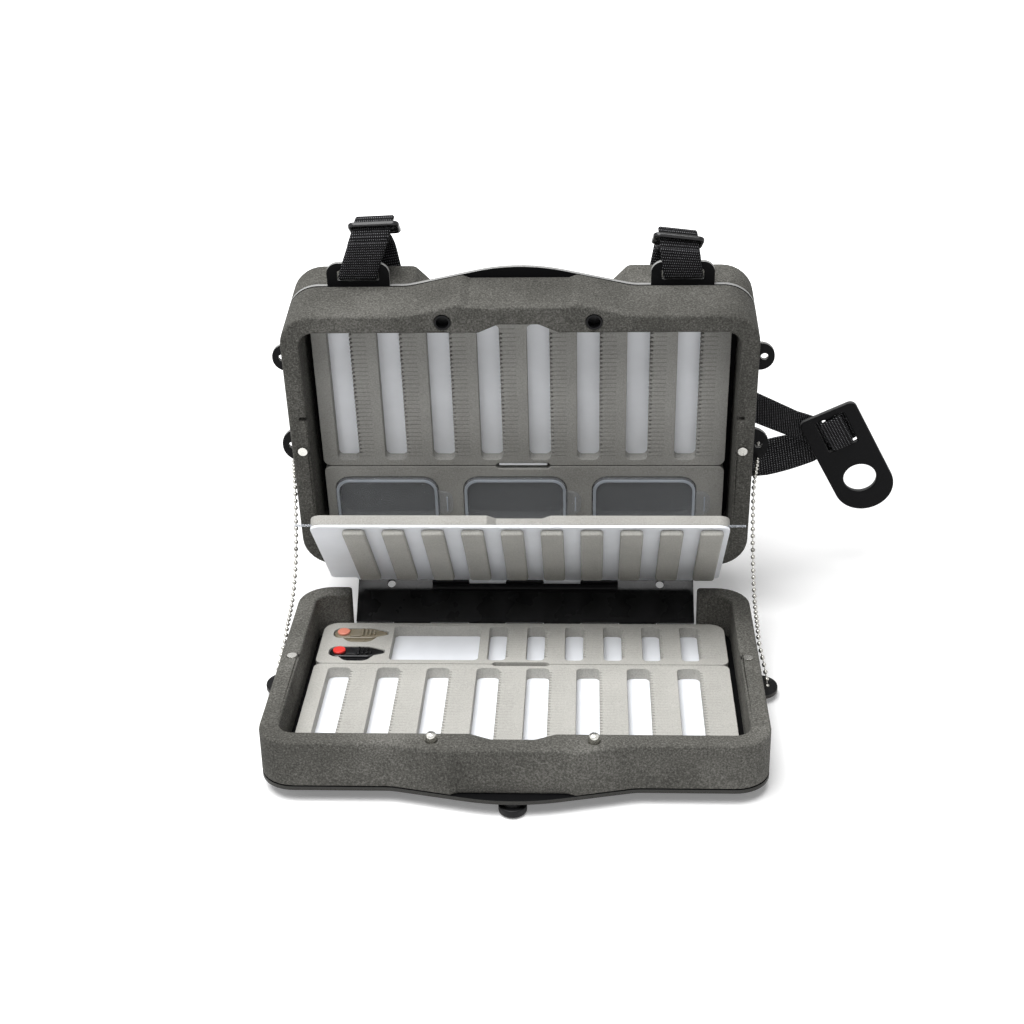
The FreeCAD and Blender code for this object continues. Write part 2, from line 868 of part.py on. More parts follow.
def cup_outline(middle, grow):
    low = middle - cup_half - grow
    high = middle + cup_half + grow
    return rectangle(low, high, size("cup_start") - grow, size("cup_end") + grow, cup_corner + grow)


cup_holes = [cup_outline(middle, size("cup_room")) for middle in cup_middles]
make_layer("lid_large_riser", LID, large_outline, [], "Sizes.riser_thick", FLOOR, False)
make_layer("lid_small_riser", LID, small_outline, cup_holes, "Sizes.riser_thick", FLOOR, False)
make_layer("lid_large_backing", LID, large_outline, [], "Sizes.backing_thick", RISER_TOP, False)
make_layer("lid_large_foam", LID, large_outline, large_slots, "Sizes.foam_thick", LID_FOAM_FLOOR, False)
small_thick = "Sizes.backing_thick + Sizes.foam_thick"
make_layer("lid_small_foam", LID, small_outline, cup_holes, small_thick, RISER_TOP, False)

# Clear cups with snap-on covers, each cover with a finger tab at its right

cup_top = plate + size("riser_thick") + size("backing_thick") + size("foam_thick") + size("cup_stand")
CUP_HEIGHT = "Sizes.riser_thick + Sizes.backing_thick + Sizes.foam_thick + Sizes.cup_stand"
for name, middle in zip(CUP_NAMES, cup_middles):
    cup = new_body("cup_" + name, LID)
    add_pad(cup, [rounded_edges(cup_outline(middle, 0))], CUP_HEIGHT, FLOOR)
    hollow = [rounded_edges(cup_outline(middle, -size("cup_wall")))]
    top_level = f"Sizes.plate_thick + {CUP_HEIGHT}"
    add_pocket(cup, hollow, f"{CUP_HEIGHT} - Sizes.cup_wall", top_level)

    cover = new_body("cup_cover_" + name, LID)
    tab_low = (size("cup_start") + size("cup_end") - size("cup_tab_width")) / 2
    tab_high = tab_low + size("cup_tab_width")
    edge = middle + cup_half
    tip = edge + size("cup_tab_reach")
    tab_turn = size("cup_tab_reach") - size("cup_tab_blend") / 2
    outline = [
        (middle - cup_half, size("cup_start"), cup_corner),
        (edge, size("cup_start"), cup_corner),
        (edge, tab_low, 0),
        (tip, tab_low, tab_turn),
        (tip, tab_high, tab_turn),
        (edge, tab_high, 0),
        (edge, size("cup_end"), cup_corner),
        (middle - cup_half, size("cup_end"), cup_corner),
    ]
    add_pad(cover, [rounded_edges(outline)], "Sizes.cup_cover_thick", top_level)


# Threaders in their bay

def make_threader(label, middle):
    place = shifted(TRAY, size("threader_middle"), -middle, plate + size("backing_thick"))
    body = new_body(label, place)
    half_long = size("threader_length") / 2
    add_pad(body, [rounded_edges(flipped(threader_outline(0, True)))], "Sizes.grip_height")
    upper = "Sizes.threader_height - Sizes.grip_height"
    add_pad(body, [rounded_edges(flipped(threader_outline(0, False)))], upper, "Sizes.grip_height")
    dot_x = size("threader_dot_inset") - half_long
    dot_place = shifted(place, dot_x, 0, size("threader_height"))
    dot = cylinder(label + "_dot", "Sizes.threader_dot_radius", "Sizes.threader_dot_thick", dot_place)
    keep(dot, label + "_dot")


make_threader("front_threader", size("front_threader_reach"))
make_threader("rear_threader", size("rear_threader_reach"))

# Spine


def spine_outline():
    """The spine, with tongues to the barrels at both long edges."""
    tongues = knuckle_spans(size("spine_width"), KNUCKLES, 1)
    low = []
    for left, right in tongues:
        low += [(left, barrel_clear, 0), (left, 0, 0), (right, 0, 0), (right, barrel_clear, 0)]
    high = [(x, spine_reach - y, r) for x, y, r in reversed(low)]
    starts = [(-spine_half, barrel_clear, 0)]
    ends = [(spine_half, barrel_clear, 0), (spine_half, spine_reach - barrel_clear, 0)]
    return starts + low + ends + high + [(-spine_half, spine_reach - barrel_clear, 0)]


spine_blank = doc.addObject("PartDesign::Body", "spine_blank")
spine_blank.Placement = SPINE
spine_holes = [
    circle_edges(side * size("spine_hole_half"), rim_height, size("spine_hole_radius")) for side in (-1, 1)
]
spine_edges = [rounded_edges(spine_outline())] + spine_holes
add_pad(spine_blank, spine_edges, "Sizes.plate_thick", "-Sizes.plate_thick / 2")
spine_spans = knuckle_spans(size("spine_width"), KNUCKLES, 1)
spine_solids = [spine_blank]
spine_bores = []
for axis_y in (0, spine_reach):
    spine_solids += make_barrels("spine", SPINE, spine_spans, axis_y, 0, "barrel_radius", KNUCKLE_LENGTH)
    spine_bores.append(pin_bore("spine", SPINE, axis_y, 0, "spine_width"))
spine_leaf = fuse("spine_leaf", spine_solids)
keep(cut("spine_plate", spine_leaf, fuse("spine_bores", spine_bores)), "spine_plate")

hinge_pin("lower_hinge_pin", SPINE, 0, 0, "spine_width")
hinge_pin("upper_hinge_pin", SPINE, spine_reach, 0, "spine_width")

# Page hinge bar on the spine

bar_half = size("page_bar_width") / 2
bar_low = rim_height - size("page_bar_height") / 2
bar_high = rim_height + size("page_bar_height") / 2
bar_blank = doc.addObject("PartDesign::Body", "page_bar_blank")
bar_blank.Placement = SPINE
bar_outline = rectangle(-bar_half, bar_half, bar_low, bar_high, size("page_bar_round"))
bar_pad = add_pad(bar_blank, [rounded_edges(bar_outline)], "Sizes.page_bar_thick", "Sizes.plate_thick / 2")
bar_top = half_plate + size("page_bar_thick")
add_fillet(bar_blank, bar_pad, at_level(bar_top), "Sizes.page_bar_round")
bar_spans = knuckle_spans(size("page_bar_width"), PAGE_KNUCKLES, 0)
bar_solids = [bar_blank]
for low, _ in bar_spans:
    foot = shifted(SPINE, low, rim_height - size("page_barrel_radius"), bar_top - size("page_bar_round"))
    arm = box(
        "page_bar_arm",
        PAGE_KNUCKLE_LENGTH,
        "2 * Sizes.page_barrel_radius",
        "Sizes.page_axis_stand - Sizes.plate_thick / 2 - Sizes.page_bar_thick + Sizes.page_bar_round",
        foot,
    )
    bar_solids.append(arm)
page_axis = (rim_height, size("page_axis_stand"))
bar_radius = "page_barrel_radius"
bar_solids += make_barrels("page_bar", SPINE, bar_spans, *page_axis, bar_radius, PAGE_KNUCKLE_LENGTH)
bar_bore = pin_bore("page_bar", SPINE, *page_axis, "page_bar_width")
keep(cut("page_hinge_bar", fuse("page_bar_leaf", bar_solids), bar_bore), "page_hinge_bar")
hinge_pin("page_hinge_pin", SPINE, rim_height, size("page_axis_stand"), "page_bar_width")

# Page

page_half = size("page_width") / 2
half_page = size("page_thick") / 2


def page_outline():
    """The page's plate, with tongues to the barrels and shoulders that clear the case's hinge walls."""
    root = page_barrel_clear
    shoulder = size("page_shoulder")
    neck = wall_end - size("page_wall_room")
    inner = size("strip_round")
    outer = size("page_root_round")
    corners = [(-page_half, shoulder, outer), (-neck, shoulder, inner), (-neck, root, inner)]
    for left, right in knuckle_spans(size("page_bar_width"), PAGE_KNUCKLES, 1):
        corners += [(left, root, 0), (left, 0, 0), (right, 0, 0), (right, root, 0)]
    corners += [(neck, root, inner), (neck, shoulder, inner), (page_half, shoulder, outer)]
    corners.append((page_half, size("page_reach"), size("page_corner")))
    corners.append((-page_half, size("page_reach"), size("page_corner")))
    return corners


page_blank = doc.addObject("PartDesign::Body", "page_blank")
page_blank.Placement = PAGE
add_pad(page_blank, [rounded_edges(page_outline())], "Sizes.page_thick", "-Sizes.page_thick / 2")
page_spans = knuckle_spans(size("page_bar_width"), PAGE_KNUCKLES, 1)
page_barrels = make_barrels("page", PAGE, page_spans, 0, 0, "page_barrel_radius", PAGE_KNUCKLE_LENGTH)
page_leaf = fuse("page_leaf", [page_blank] + page_barrels)
keep(cut("page_plate", page_leaf, pin_bore("page", PAGE, 0, 0, "page_bar_width")), "page_plate")

# Foam on the page's lid side, with a finger notch and a groove for the rod

notch_half = size("page_notch_half")
notch_depth = size("page_notch_depth")
foam_outline = [
    (-page_half, size("page_foam_start"), size("strip_round")),
    (page_half, size("page_foam_start"), size("strip_round")),
    (page_half, size("page_reach"), size("page_corner")),
    (notch_half, size("page_reach"), size("strip_round")),
    (notch_half - notch_depth, size("page_reach") - notch_depth, size("strip_round")),
    (notch_depth - notch_half, size("page_reach") - notch_depth, size("strip_round")),
    (-notch_half, size("page_reach"), size("strip_round")),
    (-page_half, size("page_reach"), size("page_corner")),
]
page_foam = new_body("page_back_foam", PAGE)
foam_level = "-Sizes.page_thick / 2 - Sizes.page_back_thick"
add_pad(page_foam, [rounded_edges(foam_outline)], "Sizes.page_back_thick", foam_level)
rod_half_room = size("rod_radius") + size("rod_room")
groove_low = size("rod_reach") - rod_half_room
groove_high = size("rod_reach") + rod_half_room
rod_groove = [rounded_edges(rectangle(-half_width, half_width, groove_low, groove_high, 0))]
add_pocket(page_foam, rod_groove, "2 * (Sizes.rod_radius + Sizes.rod_room)", "-Sizes.page_thick / 2")

rod_place = shifted(PAGE, -rod_tip, size("rod_reach"), -half_page - size("rod_radius"), ALONG_X)
rod_length = "Sizes.page_width + 2 * Sizes.rod_stand"
keep(cylinder("page_rod", "Sizes.rod_radius", rod_length, rod_place), "page_rod")

strips = []
first_strip = size("strip_shift") - size("strip_pitch") * (STRIPS - 1) / 2
for k in range(STRIPS):
    left = first_strip + k * size("strip_pitch") - size("strip_width") / 2
    strip = box(
        "page_strip",
        "Sizes.strip_width",
        "Sizes.page_reach - Sizes.strip_end_room - Sizes.strip_start",
        "Sizes.page_foam_thick",
        shifted(PAGE, left, size("strip_start"), half_page),
    )
    strips.append(strip)
group("page_strips", strips)

# Rear pad behind the lid, with a hand cut-out in its free edge

pad = new_body("rear_pad", LID)
pad_right = [
    (half_width, size("pad_hinge_room"), size("case_corner")),
    (half_width, reach, size("case_corner")),
    (size("pad_cut_half"), reach, size("pad_cut_round")),
    (size("pad_cut_floor_half"), reach - size("pad_cut_depth"), size("pad_cut_round")),
]
pad_block = add_pad(pad, [rounded_edges(mirrored(pad_right))], "Sizes.pad_thick", "-Sizes.pad_thick")
add_fillet(pad, pad_block, at_level(-size("pad_thick")), "Sizes.pad_round")

# The pad is a light sealed cushion: a skin of even thickness round a hollow core
skin = size("pad_skin")
core = rectangle(
    skin - half_width,
    half_width - skin,
    size("pad_hinge_room") + skin,
    reach - size("pad_cut_depth") - skin,
    size("case_corner") - skin,
)
add_pocket(pad, [rounded_edges(core)], "Sizes.pad_thick - 2 * Sizes.pad_skin", "-Sizes.pad_skin")

# Webbing

THIRD_TURN = 120
SIDEWAYS = Rotation(Vector(1, 1, 1), THIRD_TURN)
half_webbing = size("webbing_width") / 2
slot_top = reach + size("tab_rise") - size("tab_bar")
front_z = plate + size("webbing_room") + webbing_half
rear_z = -size("webbing_room") - webbing_half
slider_clear = size("slider_bar") / 2 + size("webbing_room") + webbing_half
slider_tail = size("slider_back") + size("slider_bar_pitch") + size("slider_bar") / 2 + size("webbing_head")
TURN_STEPS = 8
turn_radius = (front_z - rear_z) / 2


def edge_drop(lean):
    """How far a leaning strap's low edge is under its middle."""
    return half_webbing * math.sin(math.radians(abs(lean)))


def turn_reach(lean):
    """Where a leaning loop turns, low enough for its high edge to clear the tab's bar."""
    return slot_top - edge_drop(lean) + turn_radius - webbing_half - 2 * size("webbing_room")


def loop_line(slider_y, end_y, turn_y):
    """The side view of a strap loop: a short end in front, round the tab's bar and through the slider."""
    middle_z = (front_z + rear_z) / 2
    points = [(end_y, front_z)]
    for k in range(TURN_STEPS + 1):
        angle = math.pi * k / TURN_STEPS
        points.append((turn_y - turn_radius * math.sin(angle), middle_z + turn_radius * math.cos(angle)))
    under = slider_y - slider_clear
    over = slider_y + slider_clear
    step = size("slider_bar_pitch") / 2
    points += [(under - turn_radius, rear_z), (under, rear_z - turn_radius)]
    points += [(under, step - size("slider_back")), (over, step - size("slider_back"))]
    points += [(over, -step - size("slider_back")), (under, -step - size("slider_back"))]
    points.append((under, -slider_tail))
    return points


def run_line(slider_y, lean, low_end):
    """The side view of the strap behind the lid, from under the slider down the pad's back."""
    pad_back = -size("pad_thick") - size("webbing_room") - webbing_half
    head = slider_y - slider_clear - size("webbing_thick") - size("webbing_room")
    head -= edge_drop(lean) + edge_drop(size("run_lean"))
    return [
        (head, -size("slider_back")),
        (head - webbing_half, -slider_tail),
        (reach + size("webbing_back"), pad_back - webbing_half),
        (reach - size("webbing_back"), pad_back),
        (low_end, pad_back),
    ]


def make_strap(label, points, place):
    body = new_body(label, place)
    add_pad(body, [rounded_edges(band(points, size("webbing_thick")))], "Sizes.webbing_width")


def make_slider(label, place):
    """A flat frame with a bar across its middle."""
    body = new_body(label, place)
    half = size("slider_width") / 2
    bar = size("slider_bar")
    pitch = size("slider_bar_pitch")
    turn = size("slider_round")
    outline = rectangle(-half, half, -pitch - bar / 2, pitch + bar / 2, turn)
    inner = half - size("slider_side")
    gaps = [
        rectangle(-inner, inner, bar / 2 - pitch, -bar / 2, 0),
        rectangle(-inner, inner, bar / 2, pitch - bar / 2, 0),
    ]
    edges = [rounded_edges(outline)] + [rounded_edges(gap) for gap in gaps]
    add_pad(body, edges, "Sizes.slider_bar", "-Sizes.slider_bar / 2")


def run_foot(side, rise, run_half, low_end):
    """How far sideways a leaning run ends."""
    return side * (run_half - (reach + rise - low_end) * math.tan(math.radians(size("run_lean"))))


upper_low = size("upper_strand_reach") - half_webbing
lower_low = size("lower_strand_reach") - half_webbing
FLAT_BACK = Rotation(ACROSS, -RIGHT_ANGLE)
strap_sides = {"left": (-1, upper_low), "right": (1, lower_low)}
run_feet = {}
for name, (side, low_end) in strap_sides.items():
    lean = side * size(name + "_lean")
    rise = size(name + "_slider_rise")
    run_half = size(name + "_run_half")
    end_y = reach + size(name + "_end_rise")
    turn_y = turn_reach(lean)
    slider_y = reach + rise
    pivot = shifted(LID, side * size("tab_half"), turn_y, 0, Rotation(UP, lean))
    loop_frame = shifted(pivot, -half_webbing, -turn_y, 0, SIDEWAYS)
    make_strap("strap_loop_" + name, loop_line(slider_y, end_y, turn_y), loop_frame)
    make_slider("slider_" + name, shifted(pivot, 0, slider_y - turn_y, -size("slider_back"), FLAT_BACK))
    run_pivot = shifted(LID, side * run_half, slider_y, 0, Rotation(UP, -side * size("run_lean")))
    run_frame = shifted(run_pivot, -half_webbing, -slider_y, 0, SIDEWAYS)
    make_strap("strap_run_" + name, run_line(slider_y, lean, low_end), run_frame)
    run_feet[name] = run_foot(side, rise, run_half, low_end)

# Side strap: two strands behind the pad that meet round the bar in the pull tab's window

strand_z = -size("pad_thick") - 2 * size("webbing_room") - 3 * webbing_half
strand_step = size("webbing_thick") + size("webbing_room")
pull_x = half_width + size("pull_stand")
fold_front = size("pull_thick") / 2 + size("webbing_room") + webbing_half
PULL = shifted(LID, pull_x, size("pull_reach"), strand_z + fold_front, Rotation(UP, size("pull_turn")))
window_high = -size("pull_head")
window_low = window_high - size("webbing_width") - 2 * size("pull_window_room")
window_middle = (window_high + window_low) / 2
fold_side = (size("pull_window_half") + size("pull_centre_bar") / 2) / 2
pull_way = Rotation(UP, size("pull_turn"))
fold_line = Vector(pull_x, size("pull_reach"), 0) + pull_way.multVec(Vector(-fold_side, window_middle, 0))
fold_high = fold_line + pull_way.multVec(Vector(0, half_webbing, 0))
fold_low = fold_line + pull_way.multVec(Vector(0, -half_webbing, 0))


def make_strand(label, start_x, strand_reach, level):
    """A flat strand from its run behind the pad to the fold in the pull tab's window."""
    high = strand_reach + half_webbing
    low = strand_reach - half_webbing
    corners = [
        (start_x, low, 0),
        (half_width, low, 0),
        (fold_low.x, fold_low.y, 0),
        (fold_high.x, fold_high.y, 0),
        (half_width, high, 0),
        (start_x, high, 0),
    ]
    body = doc.addObject("PartDesign::Body", label)
    body.Placement = shifted(LID, 0, 0, level - webbing_half)
    add_pad(body, [rounded_edges(corners)], "Sizes.webbing_thick")
    return body


upper_start = run_feet["left"] - half_webbing
lower_start = run_feet["right"] - half_webbing
upper_strand = make_strand("upper_strand", upper_start, size("upper_strand_reach"), strand_z)
lower_strand = make_strand("lower_strand", lower_start, size("lower_strand_reach"), strand_z - strand_step)

# The fold over the bar, drawn across the tab and as long as the webbing is wide
fold_points = [
    (-fold_side - size("webbing_thick"), -fold_front),
    (-fold_side, -fold_front),
    (-fold_side, fold_front),
    (fold_side, fold_front),
    (fold_side, -fold_front - strand_step),
    (-fold_side - size("webbing_thick"), -fold_front - strand_step),
]
fold = doc.addObject("PartDesign::Body", "strap_fold")
fold.Placement = shifted(PULL, 0, window_middle + half_webbing, 0, Rotation(ACROSS, RIGHT_ANGLE))
add_pad(fold, [rounded_edges(band(fold_points, size("webbing_thick")))], "Sizes.webbing_width")
keep(fuse("strap_side", [upper_strand, lower_strand, fold]), "strap_side")

# Pull tab with a barred window for the strap and a round hole that fits over the knob

pull = new_body("pull_tab", PULL)
pull_half = size("pull_width") / 2
bar_side = size("pull_centre_bar") / 2
pull_outline = [
    (-pull_half, 0, size("pull_corner")),
    (pull_half, 0, size("pull_corner")),
    (pull_half, -size("pull_length"), pull_half - size("pull_edge_round")),
    (-pull_half, -size("pull_length"), pull_half - size("pull_edge_round")),
]
window_round = size("pull_window_round")
window_side = size("pull_window_half")
pull_edges = [
    rounded_edges(pull_outline),
    rounded_edges(rectangle(-window_side, -bar_side, window_low, window_high, window_round)),
    rounded_edges(rectangle(bar_side, window_side, window_low, window_high, window_round)),
    circle_edges(0, -size("pull_hole_reach"), size("pull_hole_radius")),
]
add_pad(pull, pull_edges, "Sizes.pull_thick", "-Sizes.pull_thick / 2")


# Bead chains that stop the lid

def make_chain(label, side):
    """Beads and short links along a smooth curve through the route."""
    route = [Vector(side * (half_width + out), y, z) for out, y, z in CHAIN_ROUTE]
    curve = Part.BSplineCurve()
    curve.interpolate(route)
    line = curve.toShape()
    count = int(line.Length / size("bead_pitch")) + 1
    places = line.discretize(Number=count)
    solids = []
    for place in places:
        bead = doc.addObject("Part::Sphere", label + "_bead")
        bead.setExpression("Radius", "Sizes.bead_radius")
        bead.Placement = Placement(place, Rotation())
        solids.append(bead)
    for here, following in zip(places, places[1:]):
        way = following - here
        link = doc.addObject("Part::Cylinder", label + "_link")
        link.setExpression("Radius", "Sizes.bead_link_radius")
        link.Height = way.Length
        link.Placement = Placement(here, Rotation(UP, way))
        solids.append(link)
    keep(fuse(label, solids), label)


make_chain("bead_chain_left", -1)
make_chain("bead_chain_right", 1)

# Checks, then the box is set down on its knob and hinge with the origin under the tray's middle

def check_objects():
    doc.recompute()
    for item in doc.Objects:
        if "Invalid" in item.State or "Error" in item.State:
            raise RuntimeError(f"{item.Label} failed: {item.State}")
    for label, node in nodes.items():
        if node.Shape.isNull() or not node.Shape.isValid():
            raise RuntimeError(f"{label} has no valid shape")


def move_all(placement):
    for node in nodes.values():
        node.Placement = placement.multiply(node.Placement)
    doc.recompute()


def whole_box():
    bounds = FreeCAD.BoundBox()
    for node in nodes.values():
        bounds.add(node.Shape.BoundBox)
    return bounds


check_objects()
knob_drop = size("knob_neck_height") + size("knob_head_height") - (size("barrel_radius") - half_plate)
nose_up = math.degrees(math.atan2(knob_drop, size("knob_reach")))
move_all(Placement(Vector(0, 0, 0), Rotation(ACROSS, -nose_up)))
floor_drop = -whole_box().ZMin
move_all(Placement(Vector(0, reach / 2, floor_drop), Rotation()))
check_objects()

os.makedirs("parts", exist_ok=True)
for label, node in nodes.items():
    node.Shape.exportStep(f"parts/{label}.step")
print("nodes", len(nodes), "box", whole_box())
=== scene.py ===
import json
import math

import bmesh
import bpy
from mathutils import Matrix, Vector


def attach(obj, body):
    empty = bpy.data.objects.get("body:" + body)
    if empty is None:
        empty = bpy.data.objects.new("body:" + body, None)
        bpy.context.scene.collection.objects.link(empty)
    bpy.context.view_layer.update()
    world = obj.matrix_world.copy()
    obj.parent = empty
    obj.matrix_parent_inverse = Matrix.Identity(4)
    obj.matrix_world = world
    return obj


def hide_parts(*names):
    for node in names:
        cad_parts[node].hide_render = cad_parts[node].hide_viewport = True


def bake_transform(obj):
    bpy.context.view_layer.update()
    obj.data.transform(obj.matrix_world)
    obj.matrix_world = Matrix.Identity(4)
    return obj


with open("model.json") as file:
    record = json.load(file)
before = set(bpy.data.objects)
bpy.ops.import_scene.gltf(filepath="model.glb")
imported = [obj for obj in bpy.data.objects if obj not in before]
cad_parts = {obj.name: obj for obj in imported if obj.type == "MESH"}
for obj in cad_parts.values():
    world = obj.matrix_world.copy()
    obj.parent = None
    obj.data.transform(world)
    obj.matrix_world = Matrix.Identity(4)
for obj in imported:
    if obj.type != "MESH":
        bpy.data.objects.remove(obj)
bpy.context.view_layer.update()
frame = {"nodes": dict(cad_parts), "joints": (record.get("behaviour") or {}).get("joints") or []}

nodes = frame["nodes"]
scene = bpy.context.scene

# Sizes in millimetres and angles in degrees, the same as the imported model's

MM = 0.001
NOSE_UP = 2.081
LID_CLIMB = 100.0
PAGE_CLIMB = 135.0
HALF_PLATE = 1.0
PLATE = 2.0
HALF_WIDTH = 120.0
REACH = 154.3
CASE_CORNER = 17.0
TRAY_HEIGHT = 26.0
LID_HEIGHT = 34.0
RIM_ROUND = 1.3
WALL_END = 93.0
HOLLOW_HALF = 110.5
HOLLOW_END = 144.4
INSERT_HALF = 107.0
INSERT_START = 11.0
INSERT_SPLIT_LOW = 53.4
INSERT_SPLIT_HIGH = 54.0
INSERT_END = 143.6
BACKING = 1.2
FOAM = 6.3
RISER = 7.5
SLOTS = 8
SLOT_FIRST = -93.3
SLOT_PITCH = 25.6
SLOT_HALF = 5.8
SLOT_LOW = 57.8
SLOT_HIGH = 139.8
SLOT_CORNER = 3.0
SMALL_SLOTS = 6
SMALL_FIRST = -13.0
SMALL_PITCH = 20.2
SMALL_HALF = 4.75
SMALL_LOW = 14.5
SMALL_HIGH = 49.9
SMALL_CORNER = 2.5
WINDOW_LOW = -68.9
WINDOW_HIGH = -22.5
SLIT_PITCH = 2.5
SLIT_LENGTH = 8.5
SLIT_MARGIN = 1.0
CUP_NAMES = ("left", "middle", "right")
CUP_MIDDLES = (-74.1, -4.7, 64.7)
CUP_HALF = 27.7
CUP_ROOM = 0.3
CUP_START = 14.0
CUP_END = 46.4
CUP_CORNER = 8.0
PAD_THICK = 22.0
WEBBING = 20.0
WEBBING_THICK = 1.6
WEBBING_ROOM = 0.25

# Frames: local millimetres of each leaf to metres in the shared frame

hinges = {joint["name"]: Vector(joint["pos_m"]) for joint in frame["joints"]}


def leaf_frame(point, climb, drop):
    turn = Matrix.Rotation(math.radians(climb - NOSE_UP), 4, "X")
    return Matrix.Translation(point) @ turn @ Matrix.Scale(MM, 4) @ Matrix.Translation((0, 0, -drop))


TRAY = leaf_frame(hinges["spine_hinge"], 0, HALF_PLATE)
LID = leaf_frame(hinges["lid_hinge"], LID_CLIMB, HALF_PLATE)
PAGE = leaf_frame(hinges["page_hinge"], PAGE_CLIMB, 0)
LEAVES = {"tray": TRAY, "lid": LID, "page": PAGE}


def turned(place, x, y, z, degrees, axis="Z"):
    return place @ Matrix.Translation((x, y, z)) @ Matrix.Rotation(math.radians(degrees), 4, axis)


# Flat outlines

NEARLY_STRAIGHT = 0.001
CORNER_STEPS = 8
ROUND_STEPS = 28


def rounded(corners, turn_steps=CORNER_STEPS):
    """Points round a closed outline whose corners are (x, y, radius)."""
    points = []
    count = len(corners)
    for index, (x, y, radius) in enumerate(corners):
        here = Vector((x, y))
        before = Vector(corners[index - 1][:2]) - here
        after = Vector(corners[(index + 1) % count][:2]) - here
        before.normalize()
        after.normalize()
        opening = math.acos(max(-1.0, min(1.0, before.dot(after))))
        if radius <= 0 or opening > math.pi - NEARLY_STRAIGHT:
            points.append((x, y))
            continue
        start = here + before * (radius / math.tan(opening / 2))
        middle = here + (before + after).normalized() * (radius / math.sin(opening / 2))
        sweep = math.pi - opening
        side = 1 if before.x * after.y - before.y * after.x < 0 else -1
        for step in range(turn_steps + 1):
            angle = side * sweep * step / turn_steps
            spoke = start - middle
            spoke.rotate(Matrix.Rotation(angle, 2))
            points.append(tuple(middle + spoke))
    return points


def flipped(points):
    return [(x, -y) for x, y in points]


def mirrored(right):
    return right + [(-x, y, radius) for x, y, radius in reversed(right)]


def rectangle(x_low, x_high, y_low, y_high, radius):
    corners = [(x_low, y_low), (x_high, y_low), (x_high, y_high), (x_low, y_high)]
    return rounded([(x, y, radius) for x, y in corners])


def circle(x, y, radius, count=ROUND_STEPS):
    turn = 2 * math.pi / count
    return [(x + radius * math.cos(k * turn), y + radius * math.sin(k * turn)) for k in range(count)]


# Meshes: points closer than the weld gap are joined, and the flat map's unit is this many millimetres

WELD_GAP = 0.0001
EDGE_STEPS = 2
FLAT_UNIT = 100.0
RIBBON_SPREAD = 8


def put(name, data):
    thing = bpy.data.objects.new(name, data)
    scene.collection.objects.link(thing)
    return thing


def baked_mesh(holder):
    """The mesh that an object shows, in place of the object."""
    solid = holder.evaluated_get(bpy.context.evaluated_depsgraph_get())
    mesh = bpy.data.meshes.new_from_object(solid)
    bpy.data.objects.remove(holder)
    mesh.materials.clear()
    return mesh


def smooth_mesh(name, work):
    mesh = bpy.data.meshes.new(name)
    work.to_mesh(mesh)
    work.free()
    mesh.shade_smooth()
    return mesh


def new_piece(name, mesh, material, body, node=None):
    """An object that rides a body when one is given, and replaces a node when one is given."""
    piece = put(name, mesh)
    piece.data.materials.append(material)
    if body:
        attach(piece, body)
    if node:
        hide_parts(node)
    return piece


def tidy_mesh(mesh):
    """Joins points that meet, drops empty faces and turns the rest outward."""
    work = bmesh.new()
    work.from_mesh(mesh)
    bmesh.ops.remove_doubles(work, verts=work.verts, dist=WELD_GAP)
    bmesh.ops.dissolve_degenerate(work, edges=work.edges, dist=WELD_GAP)
    bmesh.ops.recalc_face_normals(work, faces=work.faces)
    work.to_mesh(mesh)
    work.free()
    mesh.shade_smooth()


def flat_normals(piece):
    """Keeps broad flat faces flat beside rounded edges."""
    weighted = piece.modifiers.new("Even normals", "WEIGHTED_NORMAL")
    weighted.keep_sharp = True


def slab_mesh(name, loops, low, high, edge, place):
    """A closed slab between two levels, with rounded edges; every loop after the first is a hole."""
    curve = bpy.data.curves.new(name, "CURVE")
    curve.dimensions = "2D"
    curve.fill_mode = "BOTH"
    curve.extrude = (high - low) / 2 - edge
    curve.bevel_depth = edge
    curve.bevel_resolution = EDGE_STEPS
    curve.offset = -edge
    for loop in loops:
        spline = curve.splines.new("POLY")
        spline.points.add(len(loop) - 1)
        for point, (x, y) in zip(spline.points, loop):
            point.co = (x, y, 0, 1)
        spline.use_cyclic_u = True
    mesh = baked_mesh(put(name, curve))
    bpy.data.curves.remove(curve)
    mesh.name = name
    tidy_mesh(mesh)
    flat = mesh.uv_layers.new(name="flat")
    for corner in mesh.loops:
        point = mesh.vertices[corner.vertex_index].co
        flat.data[corner.index].uv = (point.x / FLAT_UNIT, point.y / FLAT_UNIT)
    mesh.transform(Matrix.Translation((0, 0, (low + high) / 2)))
    mesh.transform(place)
    return mesh


def slab(name, loops, low, high, edge, material, body, node=None, place=None):
    """A slab on its body's leaf, or at a place of its own."""
    spot = LEAVES[body] if place is None else place
    mesh = slab_mesh(name, loops, low, high, edge, spot)
    piece = new_piece(name, mesh, material, body, node)
    flat_normals(piece)
    return piece


def join_meshes(name, meshes):
    work = bmesh.new()
    for mesh in meshes:
        work.from_mesh(mesh)
        bpy.data.meshes.remove(mesh)
    return smooth_mesh(name, work)


def cut_out(name, mesh, cutter_mesh):
    """A mesh with the volume of another taken out of it."""
    holder = put(name, mesh)
    cutter = put("cutter", cutter_mesh)
    change = holder.modifiers.new("cut", "BOOLEAN")
    change.operation = "DIFFERENCE"
    change.solver = "EXACT"
    change.object = cutter
    result = baked_mesh(holder)
    bpy.data.objects.remove(cutter)
    return result


